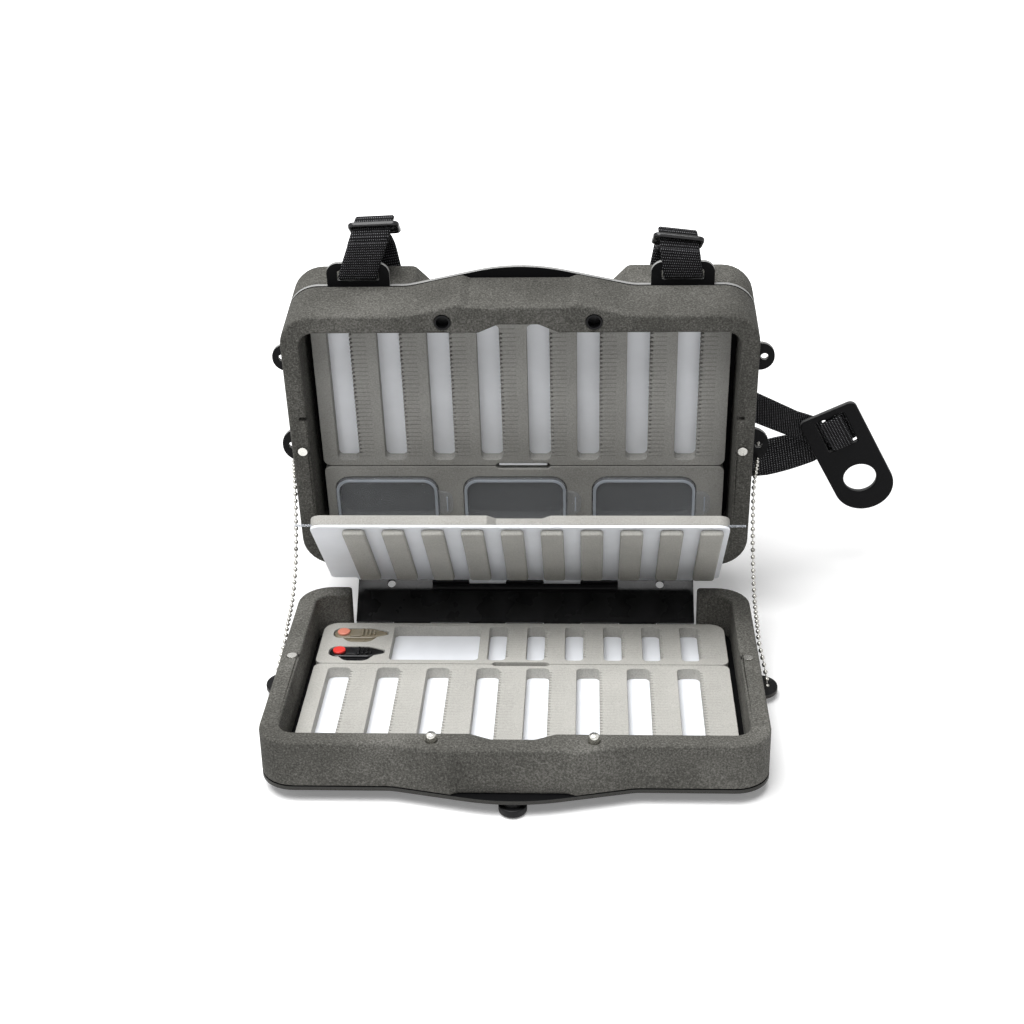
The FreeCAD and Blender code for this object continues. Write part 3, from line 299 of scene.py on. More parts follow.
def smooth_line(points, per_run):
    """Points along a smooth curve through the given ones."""
    points = [Vector(p) for p in points]
    ends = [2 * points[0] - points[1]] + points + [2 * points[-1] - points[-2]]
    line = []
    for k in range(1, len(ends) - 2):
        a, b, c, d = ends[k - 1:k + 3]
        for step in range(per_run):
            t = step / per_run
            bend = (2 * a - 5 * b + 4 * c - d) * t ** 2
            twist = (3 * b - a - 3 * c + d) * t ** 3
            line.append(0.5 * (2 * b + (c - a) * t + bend + twist))
    line.append(points[-1])
    return line


def ribbon_mesh(name, line, across, width, thick, place):
    """Webbing along a line, with a width direction at each point; u runs across and v along it."""
    half = width / 2
    edge = thick / 2
    rows = [-half + edge + (width - thick) * k / RIBBON_SPREAD for k in range(RIBBON_SPREAD + 1)]
    section = [(row, edge) for row in rows] + [(half, 0)]
    section += [(row, -edge) for row in reversed(rows)] + [(-half, 0)]
    count = len(section)
    work = bmesh.new()
    layer = work.loops.layers.uv.new("flat")
    rings = []
    lengths = [0.0]
    for k, point in enumerate(line):
        if k:
            lengths.append(lengths[-1] + (line[k] - line[k - 1]).length)
        low = line[max(k - 1, 0)]
        high = line[min(k + 1, len(line) - 1)]
        along = (high - low).normalized()
        side = across[k].normalized()
        face = side.cross(along).normalized()
        rings.append([work.verts.new(point + side * s + face * t) for s, t in section])
    for k in range(len(rings) - 1):
        for j in range(count):
            i = (j + 1) % count
            made = work.faces.new((rings[k][j], rings[k][i], rings[k + 1][i], rings[k + 1][j]))
            spots = ((j, k), (i, k), (i, k + 1), (j, k + 1))
            for corner, (s, r) in zip(made.loops, spots):
                corner[layer].uv = (section[s][0] / FLAT_UNIT, lengths[r] / FLAT_UNIT)
    for ring in (rings[0][::-1], rings[-1]):
        cap = work.faces.new(ring)
        for corner in cap.loops:
            corner[layer].uv = (0, 0)
    bmesh.ops.recalc_face_normals(work, faces=work.faces)
    mesh = smooth_mesh(name, work)
    mesh.transform(place)
    return mesh, lengths[-1]


# Shader nodes


def fill(node, values):
    for socket, value in values.items():
        node.inputs[socket].default_value = value


def node_kit(name, base, rough, shine=0.5):
    material = bpy.data.materials.new(name)
    material.use_nodes = True
    tree = material.node_tree
    shader = tree.nodes["Principled BSDF"]
    fill(shader, {"Base Color": (*base, 1), "Roughness": rough, "Specular IOR Level": shine})
    return material, tree, shader


def add(tree, kind, **values):
    node = tree.nodes.new(kind)
    for key, value in values.items():
        setattr(node, key, value)
    return node


def object_coords(tree):
    return add(tree, "ShaderNodeTexCoord").outputs["Object"]


def noise(tree, scale, detail, rough):
    node = add(tree, "ShaderNodeTexNoise")
    fill(node, {"Scale": scale, "Detail": detail, "Roughness": rough})
    tree.links.new(object_coords(tree), node.inputs["Vector"])
    return node.outputs["Fac"]


def calc(tree, operation, *values):
    node = add(tree, "ShaderNodeMath", operation=operation)
    for socket, value in zip(node.inputs, values):
        if isinstance(value, (int, float)):
            socket.default_value = value
        else:
            tree.links.new(value, socket)
    return node.outputs[0]


def product(tree, *values):
    total = values[0]
    for value in values[1:]:
        total = calc(tree, "MULTIPLY", total, value)
    return total


def wave(tree, turns):
    """A sine wave between nought and one, with one crest in each turn."""
    sine = calc(tree, "SINE", calc(tree, "MULTIPLY", turns, 2 * math.pi))
    return calc(tree, "MULTIPLY_ADD", sine, 0.5, 0.5)


def span(tree, value, start, end, low, high, kind="LINEAR"):
    """Turns values from start to end into values from low to high."""
    node = add(tree, "ShaderNodeMapRange", interpolation_type=kind)
    fill(node, {"From Min": start, "From Max": end, "To Min": low, "To Max": high})
    tree.links.new(value, node.inputs["Value"])
    return node.outputs["Result"]


def ramp(tree, factor, stops):
    node = add(tree, "ShaderNodeValToRGB")
    elements = node.color_ramp.elements
    while len(elements) < len(stops):
        elements.new(0.5)
    for element, (position, colour) in zip(elements, stops):
        element.position = position
        element.color = (*colour, 1)
    tree.links.new(factor, node.inputs["Fac"])
    return node.outputs["Color"]


def bump(tree, shader, height, strength, distance):
    node = add(tree, "ShaderNodeBump")
    fill(node, {"Strength": strength, "Distance": distance})
    tree.links.new(height, node.inputs["Height"])
    tree.links.new(node.outputs["Normal"], shader.inputs["Normal"])


def mixed(tree, factor, first, second):
    node = add(tree, "ShaderNodeMix", data_type="RGBA")
    tree.links.new(factor, node.inputs["Factor"])
    for socket, value in ((node.inputs[6], first), (node.inputs[7], second)):
        if isinstance(value, tuple):
            socket.default_value = (*value, 1)
        else:
            tree.links.new(value, socket)
    return node.outputs[2]


def flat_map(tree):
    """Millimetres across and along the flat map."""
    flat = add(tree, "ShaderNodeUVMap", uv_map="flat")
    parts = add(tree, "ShaderNodeSeparateXYZ")
    tree.links.new(flat.outputs["UV"], parts.inputs[0])
    return [calc(tree, "MULTIPLY", parts.outputs[axis], FLAT_UNIT) for axis in ("X", "Y")]


def seen_rays(tree):
    """One for rays from the camera, from glossy faces and through clear pieces, and nought for others."""
    path = add(tree, "ShaderNodeLightPath")
    seen = calc(tree, "MAXIMUM", path.outputs["Is Camera Ray"], path.outputs["Is Glossy Ray"])
    return calc(tree, "MAXIMUM", seen, path.outputs["Is Transmission Ray"])


def shaded(base, share):
    return tuple(c * share for c in base)


# Materials: bump depths in metres, noise scales per metre, and the webbing's stitches in millimetres

FOAM_PIT = 0.0006
SLIT_DEPTH = 0.0008
PLASTIC_PIT = 0.0002
WEAVE_DEPTH = 0.0006
RIPPLE_DEPTH = 0.0006
FOAM_SHINE = 0.25
SHELL_GRAIN = 1100
INSERT_GRAIN = 1500
INSERT_CLOUDS = 40
SHELL_CLOUDS_SHARE = 1 / 45
PLASTIC_GRAIN = 2200
PLASTIC_CLOUDS = 60
PLATE_GRAIN = 1600
PLATE_ROUGH = 0.42
PLATE_SHINE = 0.08
COAT_ROUGH = 0.15
WEBBING_FUZZ = 2600
WEBBING_SHINE = 0.1
METAL_SMEARS = 500
CLEAR_RIPPLES = 90
CLEAR_INDEX = 1.45
STITCH_ROW = 1.45
STITCH_WIDTH = 1.05
STITCH_LEAN = 0.55
SLIT_WOBBLE = 1.2
# Webbing tones: the pale top stop is painted sheen on the threads
WEBBING_SHEEN_TONES = ((0.1, (0.003, 0.003, 0.0033)), (0.4, (0.02, 0.02, 0.022)), (0.75, (0.2, 0.2, 0.21)))


def cloudy(tree, grain, clouds, share):
    """Grain with broad clouds added, whose mean is that of the grain alone."""
    return calc(tree, "ADD", grain, calc(tree, "MULTIPLY_ADD", clouds, share, -share / 2))


def foam_material(name, tones, grain, strength):
    """Closed-cell foam: fine specks over broad cloudy patches, with a pitted surface."""
    dark, mid, light = tones
    material, tree, shader = node_kit(name, mid, 0.92, FOAM_SHINE)
    specks = noise(tree, grain, 4.0, 0.75)
    clouds = noise(tree, grain * SHELL_CLOUDS_SHARE, 2.0, 0.5)
    colour = ramp(tree, cloudy(tree, specks, clouds, 0.35), [(0.3, dark), (0.5, mid), (0.7, light)])
    tree.links.new(colour, shader.inputs["Base Color"])
    bump(tree, shader, specks, strength, FOAM_PIT)
    return material


def slit_foam_material(name, tones, first_edge, pitch, count, low, high, depth):
    """Insert foam whose strips carry fine slits that start at each slot's right edge, with painted shade
    darkening each slit.
    """
    dark, mid, light = tones
    material, tree, shader = node_kit(name, mid, 0.9, FOAM_SHINE)
    grain = noise(tree, INSERT_GRAIN, 3.0, 0.7)
    clouds = noise(tree, INSERT_CLOUDS, 2.0, 0.5)
    colour = ramp(tree, cloudy(tree, grain, clouds, 0.3), [(0.25, dark), (0.5, mid), (0.75, light)])
    across, along = flat_map(tree)
    slots = calc(tree, "MULTIPLY_ADD", across, 1 / pitch, -first_edge / pitch)
    slots = cloudy(tree, slots, clouds, SLIT_WOBBLE / pitch)
    along = calc(tree, "ABSOLUTE", along)
    inside = product(
        tree,
        calc(tree, "LESS_THAN", calc(tree, "FRACT", slots), SLIT_LENGTH / pitch),
        calc(tree, "GREATER_THAN", slots, 0.0),
        calc(tree, "LESS_THAN", slots, float(count)),
        calc(tree, "GREATER_THAN", along, low),
        calc(tree, "LESS_THAN", along, high),
    )
    rows = calc(tree, "DIVIDE", calc(tree, "SUBTRACT", along, low), SLIT_PITCH)
    away = calc(tree, "SUBTRACT", calc(tree, "FRACT", rows), 0.5)
    away = calc(tree, "ABSOLUTE", away)
    # Painted shade: each slit is darkened towards its middle line, where shade falls in the cut
    groove = product(tree, span(tree, away, 0.02, 0.16, 1.0, 0.0, "SMOOTHSTEP"), inside)
    colour = mixed(tree, product(tree, groove, depth), colour, shaded(dark, 0.35))
    tree.links.new(colour, shader.inputs["Base Color"])
    bump(tree, shader, calc(tree, "SUBTRACT", product(tree, grain, 0.12), groove), depth, SLIT_DEPTH)
    return material


def plastic_material(name, base, rough, grain, coat=0.0, shine=0.5):
    """Moulded plastic with a fine texture and small changes of gloss."""
    material, tree, shader = node_kit(name, base, rough, shine)
    fill(shader, {"Coat Weight": coat, "Coat Roughness": COAT_ROUGH})
    fine = noise(tree, PLASTIC_GRAIN, 2.0, 0.6)
    broad = noise(tree, PLASTIC_CLOUDS, 3.0, 0.55)
    gloss = span(tree, broad, 0.0, 1.0, rough - 0.08, rough + 0.1)
    tree.links.new(gloss, shader.inputs["Roughness"])
    light = tuple(min(1.0, c * 1.03 + 0.001) for c in base)
    colour = ramp(tree, broad, [(0.3, shaded(base, 0.97)), (0.7, light)])
    tree.links.new(colour, shader.inputs["Base Color"])
    bump(tree, shader, fine, grain, PLASTIC_PIT)
    return material


def plate_material(name, base, rim, place):
    """Black moulded plate with a painted highlight on its edges: faces turned away from the plate's normal
    get the paler rim tone.
    """
    material, tree, shader = node_kit(name, base, PLATE_ROUGH, PLATE_SHINE)
    fine = noise(tree, PLATE_GRAIN, 2.0, 0.6)
    facing = add(tree, "ShaderNodeVectorMath", operation="DOT_PRODUCT")
    facing.inputs[1].default_value = place.to_3x3().col[2].normalized()
    tree.links.new(add(tree, "ShaderNodeTexCoord").outputs["Normal"], facing.inputs[0])
    facing = calc(tree, "ABSOLUTE", facing.outputs["Value"])
    # Painted highlight: the mask is one on the bevelled edges and nought on the broad faces, broken up by
    # fine noise
    edge = span(tree, facing, 0.35, 0.75, 1.0, 0.0)
    painted_edge_highlight = product(tree, edge, calc(tree, "ADD", fine, 0.4))
    tree.links.new(mixed(tree, painted_edge_highlight, base, rim), shader.inputs["Base Color"])
    bump(tree, shader, fine, 0.25, PLASTIC_PIT)
    return material


def webbing_material(name):
    """Woven polyester webbing: rows of slanted stitches across the width, whose crests carry a painted sheen.
    """
    material, tree, shader = node_kit(name, (0.012, 0.012, 0.014), 0.7, WEBBING_SHINE)
    across, along = flat_map(tree)
    row = calc(tree, "DIVIDE", along, STITCH_ROW)
    offset = product(tree, calc(tree, "FLOOR", row), 0.5)
    lean = product(tree, calc(tree, "FRACT", row), STITCH_LEAN)
    stitch = calc(tree, "DIVIDE", across, STITCH_WIDTH)
    stitch = calc(tree, "ADD", stitch, calc(tree, "ADD", offset, lean))
    weave = product(tree, wave(tree, row), wave(tree, stitch))
    fuzz = noise(tree, WEBBING_FUZZ, 2.0, 0.7)
    tone = product(tree, weave, calc(tree, "ADD", fuzz, 0.3))
    # The weave pattern is real; its pale crests are painted highlight
    tree.links.new(ramp(tree, tone, WEBBING_SHEEN_TONES), shader.inputs["Base Color"])
    bump(tree, shader, weave, 0.8, WEAVE_DEPTH)
    return material


def metal_material(name, base, rough):
    """Plated metal with smears."""
    material, tree, shader = node_kit(name, base, rough)
    fill(shader, {"Metallic": 1.0})
    smears = noise(tree, METAL_SMEARS, 3.0, 0.6)
    gloss = span(tree, smears, 0.0, 1.0, rough * 0.7, rough * 1.4)
    tree.links.new(gloss, shader.inputs["Roughness"])
    tone = ramp(tree, smears, [(0.3, shaded(base, 0.8)), (0.7, base)])
    tree.links.new(tone, shader.inputs["Base Color"])
    return material


def clear_material(name, base, rough, alpha, transmission):
    """Clear styrene: mostly see-through, with faint moulding ripples."""
    material, tree, shader = node_kit(name, base, rough)
    fill(shader, {"IOR": CLEAR_INDEX, "Transmission Weight": transmission, "Alpha": alpha})
    ripple = noise(tree, CLEAR_RIPPLES, 2.0, 0.5)
    bump(tree, shader, ripple, 0.08, RIPPLE_DEPTH)
    tone = ramp(tree, ripple, [(0.3, shaded(base, 0.95)), (0.7, base)])
    tree.links.new(tone, shader.inputs["Base Color"])
    return material


SHELL_TONES = ((0.03, 0.029, 0.0255), (0.082, 0.08, 0.0715), (0.19, 0.185, 0.17))
# Painted shade: the lid's shell is the same foam as the tray's shell, darkened to about 0.82 of its tones
SHADED_LID_SHELL_TONES = ((0.025, 0.024, 0.021), (0.067, 0.0655, 0.0585), (0.156, 0.152, 0.14))
INSERT_TONES = ((0.3, 0.295, 0.275), (0.4, 0.392, 0.365), (0.48, 0.47, 0.44))
LID_TONES = ((0.22, 0.217, 0.205), (0.3, 0.296, 0.28), (0.37, 0.365, 0.345))
PAGE_TONES = ((0.27, 0.263, 0.245), (0.34, 0.332, 0.31), (0.4, 0.392, 0.37))
BLACK = (0.006, 0.006, 0.0065)
DEEP_BLACK = (0.003, 0.003, 0.0035)
# Painted highlight tone for the pull tab's bevelled edges
TAB_EDGE_HIGHLIGHT = (0.07, 0.07, 0.07)
LARGE_SLITS = (SLOT_FIRST + SLOT_HALF, SLOT_PITCH, SLOTS, SLOT_LOW + SLIT_MARGIN, SLOT_HIGH - SLIT_MARGIN)
SMALL_SLITS = (
    SMALL_FIRST + SMALL_HALF, SMALL_PITCH, SMALL_SLOTS, SMALL_LOW + SLIT_MARGIN, SMALL_HIGH - SLIT_MARGIN
)

shell_look = foam_material("shell_foam", SHELL_TONES, SHELL_GRAIN, 0.5)
shaded_lid_shell_look = foam_material("lid_shell_foam_painted_shade", SHADED_LID_SHELL_TONES, SHELL_GRAIN, 0.5)
lid_slit_look = slit_foam_material("lid_slit_foam", LID_TONES, *LARGE_SLITS, 0.34)
tray_slit_look = slit_foam_material("tray_slit_foam", INSERT_TONES, *LARGE_SLITS, 0.14)
small_slit_look = slit_foam_material("small_slit_foam", INSERT_TONES, *SMALL_SLITS, 0.14)
plain_look = foam_material("plain_foam", INSERT_TONES, INSERT_GRAIN, 0.25)
page_look = foam_material("page_foam", PAGE_TONES, INSERT_GRAIN, 0.25)
lid_look = foam_material("lid_foam", LID_TONES, INSERT_GRAIN, 0.25)
white_look = plastic_material("white_plastic", (0.86, 0.88, 0.92), 0.38, 0.05)
black_look = plastic_material("black_plastic", BLACK, 0.42, 0.3, 0.0, 0.16)
slider_look = plastic_material("slider_black", BLACK, 0.16, 0.05, 0.0, 0.35)
gloss_look = plastic_material("gloss_black", (0.005, 0.005, 0.0055), 0.27, 0.1, 0.0, 0.16)
# The rim tones below are painted edge highlights, paler than the black faces
lid_plate_look = plate_material("lid_plate_black", BLACK, (0.3, 0.3, 0.295), LID)
tray_plate_look = plate_material("tray_plate_black", BLACK, (0.05, 0.049, 0.046), TRAY)
olive_look = plastic_material("olive_plastic", (0.2, 0.172, 0.12), 0.26, 0.1, 0.2)
red_look = plastic_material("red_plastic", (0.72, 0.045, 0.035), 0.3, 0.1)
orange_look = plastic_material("orange_plastic", (0.76, 0.27, 0.19), 0.3, 0.1)
webbing_look = webbing_material("webbing")
nickel_look = metal_material("nickel", (0.72, 0.71, 0.67), 0.22)
chain_look = metal_material("chain_nickel", (0.46, 0.45, 0.42), 0.28)
steel_look = metal_material("steel", (0.5, 0.5, 0.5), 0.35)
cup_look = clear_material("cup_clear", (0.37, 0.375, 0.385), 0.2, 0.45, 0.3)
cover_look = clear_material("cover_clear", (0.5, 0.52, 0.55), 0.14, 0.2, 0.3)
# Painted highlight: the cover rims get a paler, less clear copy of the cover's plastic
rim_highlight_look = clear_material("rim_clear_painted_highlight", (0.62, 0.67, 0.74), 0.12, 0.5, 0.2)
rod_look = clear_material("rod_clear", (0.4, 0.42, 0.46), 0.1, 0.6, 0.5)

# Foam walls

WALL_BACK = 9.5
WALL_END_CORNER = 2.0
LIP_START = 57.0
LIP_START_ROUND = 25.0
LIP_SHOULDER = 29.0
LIP_REACH = 6.5
LIP_DIP = 25.0
LIP_DIP_REACH = 4.9
LIP_CORNER = 1.5
HOLLOW_CORNER = 8.0
FINGER_OUTER = 20.0
FINGER_INNER = 10.0
FINGER_DEPTH = 4.6
FINGER_CORNER = 4.0
MAGNET_OUT = 114.4
MAGNET_REACH = 74.0
MAGNET_SEAT = 2.55
POST_OUT = 37.6
POST_REACH = 150.5
POST_SEAT = 2.65
SOCKET_SEAT = 4.05


def shell_loops(post_radius):
    outer = [
        (WALL_END, 0, WALL_END_CORNER),
        (HALF_WIDTH, 0, CASE_CORNER),
        (HALF_WIDTH, REACH, CASE_CORNER),
        (LIP_START, REACH, LIP_START_ROUND),
        (LIP_SHOULDER, REACH + LIP_REACH, LIP_CORNER),
        (LIP_DIP, REACH + LIP_DIP_REACH, LIP_CORNER),
    ]
    inner = [
        (-WALL_END, WALL_BACK, WALL_END_CORNER),
        (-HOLLOW_HALF, WALL_BACK, HOLLOW_CORNER),
        (-HOLLOW_HALF, HOLLOW_END, HOLLOW_CORNER),
        (-FINGER_OUTER, HOLLOW_END, FINGER_CORNER),
        (-FINGER_INNER, HOLLOW_END + FINGER_DEPTH, FINGER_CORNER),
    ]
    loops = [rounded(mirrored(outer) + mirrored(inner))]
    loops += [circle(side * MAGNET_OUT, MAGNET_REACH, MAGNET_SEAT) for side in (-1, 1)]
    return loops + [circle(side * POST_OUT, POST_REACH, post_radius) for side in (-1, 1)]


tray_loops = [flipped(loop) for loop in shell_loops(POST_SEAT)]
slab("tray_wall", tray_loops, PLATE, TRAY_HEIGHT, RIM_ROUND, shell_look, "tray", "tray_shell")

# The lid's wall has a groove in each side of its rim, for the page's rod

ROD_TIP = 113.3
ROD_REST = 94.2
GROOVE_HALF = 1.2
GROOVE_DEPTH = 2.4
GROOVE_CORNER = 0.4
GROOVE_EDGE = 0.1
CUT_PAST = 2.0
groove_meshes = []
for side in (-1, 1):
    low_x, high_x = sorted((side * (HOLLOW_HALF - RIM_ROUND), side * (ROD_TIP + GROOVE_HALF)))
    groove = rectangle(low_x, high_x, ROD_REST - GROOVE_HALF, ROD_REST + GROOVE_HALF, GROOVE_CORNER)
    low_z = LID_HEIGHT - GROOVE_DEPTH
    groove_meshes.append(slab_mesh("groove", [groove], low_z, LID_HEIGHT + CUT_PAST, GROOVE_EDGE, LID))
lid_mesh = slab_mesh("lid_wall", shell_loops(SOCKET_SEAT), PLATE, LID_HEIGHT, RIM_ROUND, LID)
lid_mesh = cut_out("lid_wall", lid_mesh, join_meshes("grooves", groove_meshes))
lid_wall = new_piece("lid_wall", lid_mesh, shaded_lid_shell_look, "lid", "lid_shell")
flat_normals(lid_wall)

# Rear pad

PAD_START = 4.5
PAD_EDGE = 3.0
CUTOUT_OUTER = 55.0
CUTOUT_INNER = 40.0
CUTOUT_DEPTH = 16.0
CUTOUT_CORNER = 5.0
pad_right = [
    (HALF_WIDTH, PAD_START, CASE_CORNER),
    (HALF_WIDTH, REACH, CASE_CORNER),
    (CUTOUT_OUTER, REACH, CUTOUT_CORNER),
    (CUTOUT_INNER, REACH - CUTOUT_DEPTH, CUTOUT_CORNER),
]
pad_loops = [rounded(mirrored(pad_right))]
pad = slab("rear_cushion", pad_loops, -PAD_THICK, 0, PAD_EDGE, shell_look, "lid", "rear_pad")

# Inserts

INSERT_CORNER = 8.0
SPLIT_CORNER = 4.0
NOTCH_OUTER = 15.0
NOTCH_INNER = 13.4
NOTCH_DEPTH = 1.6
NOTCH_CORNER = 0.7
MOUTH_HALF = 0.85
MOUTH_DEPTH = 1.5
MOUTH_TIP_HALF = 0.3
FOAM_EDGE = 0.35
RISER_EDGE = 0.3


def insert_loop(low, high, low_round, high_round, notch_at_low):
    notch = [(NOTCH_OUTER, 0), (NOTCH_INNER, NOTCH_DEPTH), (-NOTCH_INNER, NOTCH_DEPTH), (-NOTCH_OUTER, 0)]
    lower = [(-INSERT_HALF, low, low_round)]
    upper = [(INSERT_HALF, high, high_round)]
    if notch_at_low:
        lower += [(-x, low + y, NOTCH_CORNER) for x, y in notch]
    else:
        upper += [(x, high - y, NOTCH_CORNER) for x, y in notch]
    return rounded(lower + [(INSERT_HALF, low, low_round)] + upper + [(-INSERT_HALF, high, high_round)])


def slot_loop(middle, half, low, high, corner):
    """A slot with slit mouths along its right edge."""
    points = rectangle(middle - half, middle + half, low, high, corner)
    turn = len(points) // 4
    right = []
    mouth = low + corner + SLIT_PITCH / 2
    while mouth < high - corner:
        x = middle + half
        tip = x + MOUTH_DEPTH
        right += [(x, mouth - MOUTH_HALF), (tip, mouth - MOUTH_TIP_HALF)]
        right += [(tip, mouth + MOUTH_TIP_HALF), (x, mouth + MOUTH_HALF)]
        mouth += SLIT_PITCH
    return points[:2 * turn] + right + points[2 * turn:]


def slot_row(count, first, pitch, half, low, high, corner):
    return [slot_loop(first + k * pitch, half, low, high, corner) for k in range(count)]


large_loop = insert_loop(INSERT_SPLIT_HIGH, INSERT_END, SPLIT_CORNER, INSERT_CORNER, True)
small_loop = insert_loop(INSERT_START, INSERT_SPLIT_LOW, INSERT_CORNER, SPLIT_CORNER, False)
large_slots = slot_row(SLOTS, SLOT_FIRST, SLOT_PITCH, SLOT_HALF, SLOT_LOW, SLOT_HIGH, SLOT_CORNER)
small_slots = slot_row(SMALL_SLOTS, SMALL_FIRST, SMALL_PITCH, SMALL_HALF, SMALL_LOW, SMALL_HIGH, SMALL_CORNER)
window = rectangle(WINDOW_LOW, WINDOW_HIGH, SMALL_LOW, SMALL_HIGH, SMALL_CORNER)

# Threaders from above: round at the dot, tapered to a point, with a thumb grip in front

THREADER_MIDDLE = -86.5
THREADER_REACHES = {"front_threader": 41.5, "rear_threader": 22.0}
THREADER_HALF_LONG = 14.2
THREADER_HALF_WIDE = 4.8
THREADER_END_ROUND = 4.5
THREADER_ROOM = 0.5
TAPER_START = 6.2
TAPER_ROUND = 4.0
POINT_HALF = 1.2
POINT_ROUND = 1.0
GRIP_HALF = 8.5
GRIP_SLOPE = 3.3
GRIP_REACH = 9.0
GRIP_ROUND = 5.0
GRIP_ROOT_ROUND = 0.6


def threader_corners(room, with_grip):
    half_long = THREADER_HALF_LONG + room
    half_wide = THREADER_HALF_WIDE + room
    point = POINT_HALF + room
    grip = GRIP_HALF + room
    grip_reach = GRIP_REACH + room
    fall = (half_wide - point) / (half_long - TAPER_START)
    corners = [
        (-half_long, -half_wide, THREADER_END_ROUND),
        (TAPER_START, -half_wide, TAPER_ROUND),
        (half_long, -point, POINT_ROUND),
        (half_long, point, POINT_ROUND),
    ]
    if with_grip:
        corners += [
            (grip, half_wide - fall * (grip - TAPER_START), GRIP_ROOT_ROUND),
            (grip - GRIP_SLOPE, grip_reach, GRIP_ROUND),
            (GRIP_SLOPE - grip, grip_reach, GRIP_ROUND),
            (-grip, half_wide, GRIP_ROOT_ROUND),
        ]
    else:
        corners.append((TAPER_START, half_wide, TAPER_ROUND))
    return corners + [(-half_long, half_wide, THREADER_END_ROUND)]


bays = []
for reach in THREADER_REACHES.values():
    bay = rounded(threader_corners(THREADER_ROOM, True))
    bays.append([(x + THREADER_MIDDLE, y + reach) for x, y in bay])

# Insert foam on both leaves



def cup_outline(middle, room):
    """A cup from above, with room added all round."""
    half = CUP_HALF + room
    return rectangle(middle - half, middle + half, CUP_START - room, CUP_END + room, CUP_CORNER + room)


cup_holes = [cup_outline(middle, CUP_ROOM) for middle in CUP_MIDDLES]
tray_floor = PLATE + BACKING
tray_top = tray_floor + FOAM
riser_top = PLATE + RISER
lid_floor = riser_top + BACKING
lid_top = lid_floor + FOAM
large_foam = [large_loop] + large_slots
tray_large = [flipped(loop) for loop in large_foam]
tray_small = [flipped(loop) for loop in [small_loop] + small_slots + [window] + bays]
cup_foam = [small_loop] + cup_holes
INSERTS = (
    ("tray_foam", tray_large, tray_floor, tray_top, tray_slit_look, "tray", "tray_large_foam"),
    ("tray_fine_foam", tray_small, tray_floor, tray_top, small_slit_look, "tray", "tray_small_foam"),
    ("lid_foam", large_foam, lid_floor, lid_top, lid_slit_look, "lid", "lid_large_foam"),
    ("lid_cup_foam", cup_foam, riser_top, lid_top, lid_look, "lid", "lid_small_foam"),
)
for name, loops, low, high, look, body, node in INSERTS:
    slab(name, loops, low, high, FOAM_EDGE, look, body, node)
for name, loops in (("large_riser", [large_loop]), ("small_riser", cup_foam)):
    slab(name, loops, PLATE, riser_top, RISER_EDGE, lid_look, "lid", "lid_" + name)

# Page foam

PAGE_HALF = 105.5
PAGE_START = 14.6
PAGE_END = 91.0
PAGE_CORNER = 6.0
PAGE_NOTCH_OUTER = 16.0
PAGE_NOTCH_INNER = 11.5
PAGE_NOTCH_DEPTH = 4.5
PAGE_NOTCH_CORNER = 1.2
HALF_PAGE = 0.6
PAGE_FOAM = 3.2
PAGE_BACK = 5.2
PAGE_FOAM_EDGE = 0.5
page_right = [
    (PAGE_HALF, PAGE_START, PAGE_NOTCH_CORNER),
    (PAGE_HALF, PAGE_END, PAGE_CORNER),
    (PAGE_NOTCH_OUTER, PAGE_END, PAGE_NOTCH_CORNER),
    (PAGE_NOTCH_INNER, PAGE_END - PAGE_NOTCH_DEPTH, PAGE_NOTCH_CORNER),
]
page_loops = [rounded(mirrored(page_right))]
page_low = -HALF_PAGE - PAGE_BACK
slab(
    "page_foam_sheet", page_loops, page_low, -HALF_PAGE, PAGE_FOAM_EDGE, page_look, "page",
    "page_back_foam",
)

STRIPS = 10
STRIP_FIRST = -83.4
STRIP_PITCH = 20.0
STRIP_HALF = 5.75
STRIP_START = 10.8
STRIP_INSET = 3.0
STRIP_CORNER = 2.2
STRIP_EDGE = 1.0
strip_end = PAGE_END - STRIP_INSET
strip_meshes = []
for k in range(STRIPS):
    middle = STRIP_FIRST + k * STRIP_PITCH
    loop = rectangle(middle - STRIP_HALF, middle + STRIP_HALF, STRIP_START, strip_end, STRIP_CORNER)
    strip_meshes.append(slab_mesh("strip", [loop], HALF_PAGE, HALF_PAGE + PAGE_FOAM, STRIP_EDGE, PAGE))
strip_mesh = join_meshes("page_foam_strips", strip_meshes)
strips = new_piece("page_foam_strips", strip_mesh, plain_look, "page", "page_strips")
flat_normals(strips)

# Webbing loops and runs of the harness

FRONT_Z = PLATE + WEBBING_ROOM + WEBBING_THICK / 2
REAR_Z = -WEBBING_ROOM - WEBBING_THICK / 2
PAD_BACK_Z = -PAD_THICK - WEBBING_ROOM - WEBBING_THICK / 2
TURN_RADIUS = (FRONT_Z - REAR_Z) / 2
TURN_STEPS = 6
TAB_HALF = 82.3
TAB_REACH = 12.8
TAB_BAR = 4.2
SLOT_SAG = 2.3
TURN_Y = REACH + TAB_REACH - TAB_BAR - SLOT_SAG
LOOP_STRAIGHT = 2.0
LOOP_BULGE = 0.2
LOOP_LOW = 3.0
LOOP_NECK = 7.5
LOOP_NECK_BACK = 0.4
RUN_LEAN = 10.0
RUN_EASE = 7.0
RUN_LIFT = 0.8
WEBBING_STEPS = 6

# Ways through the slider and over the pad's edge: rise from the strap's top, and height over the plate

LOOP_HEAD = (
    (-4.4, -3.6),
    (-2.0, -6.4),
    (0.2, -8.6),
    (0.7, -10.2),
    (-0.1, -12.2),
    (-2.6, -12.6),
    (-5.9, -10.3),
    (-8.6, -8.2),
    (-13.0, -7.0),
)
RUN_HEAD = ((-11.5, -9.5), (-12.0, -13.0), (-13.5, -17.0), (-17.0, -20.5))

# Sliders

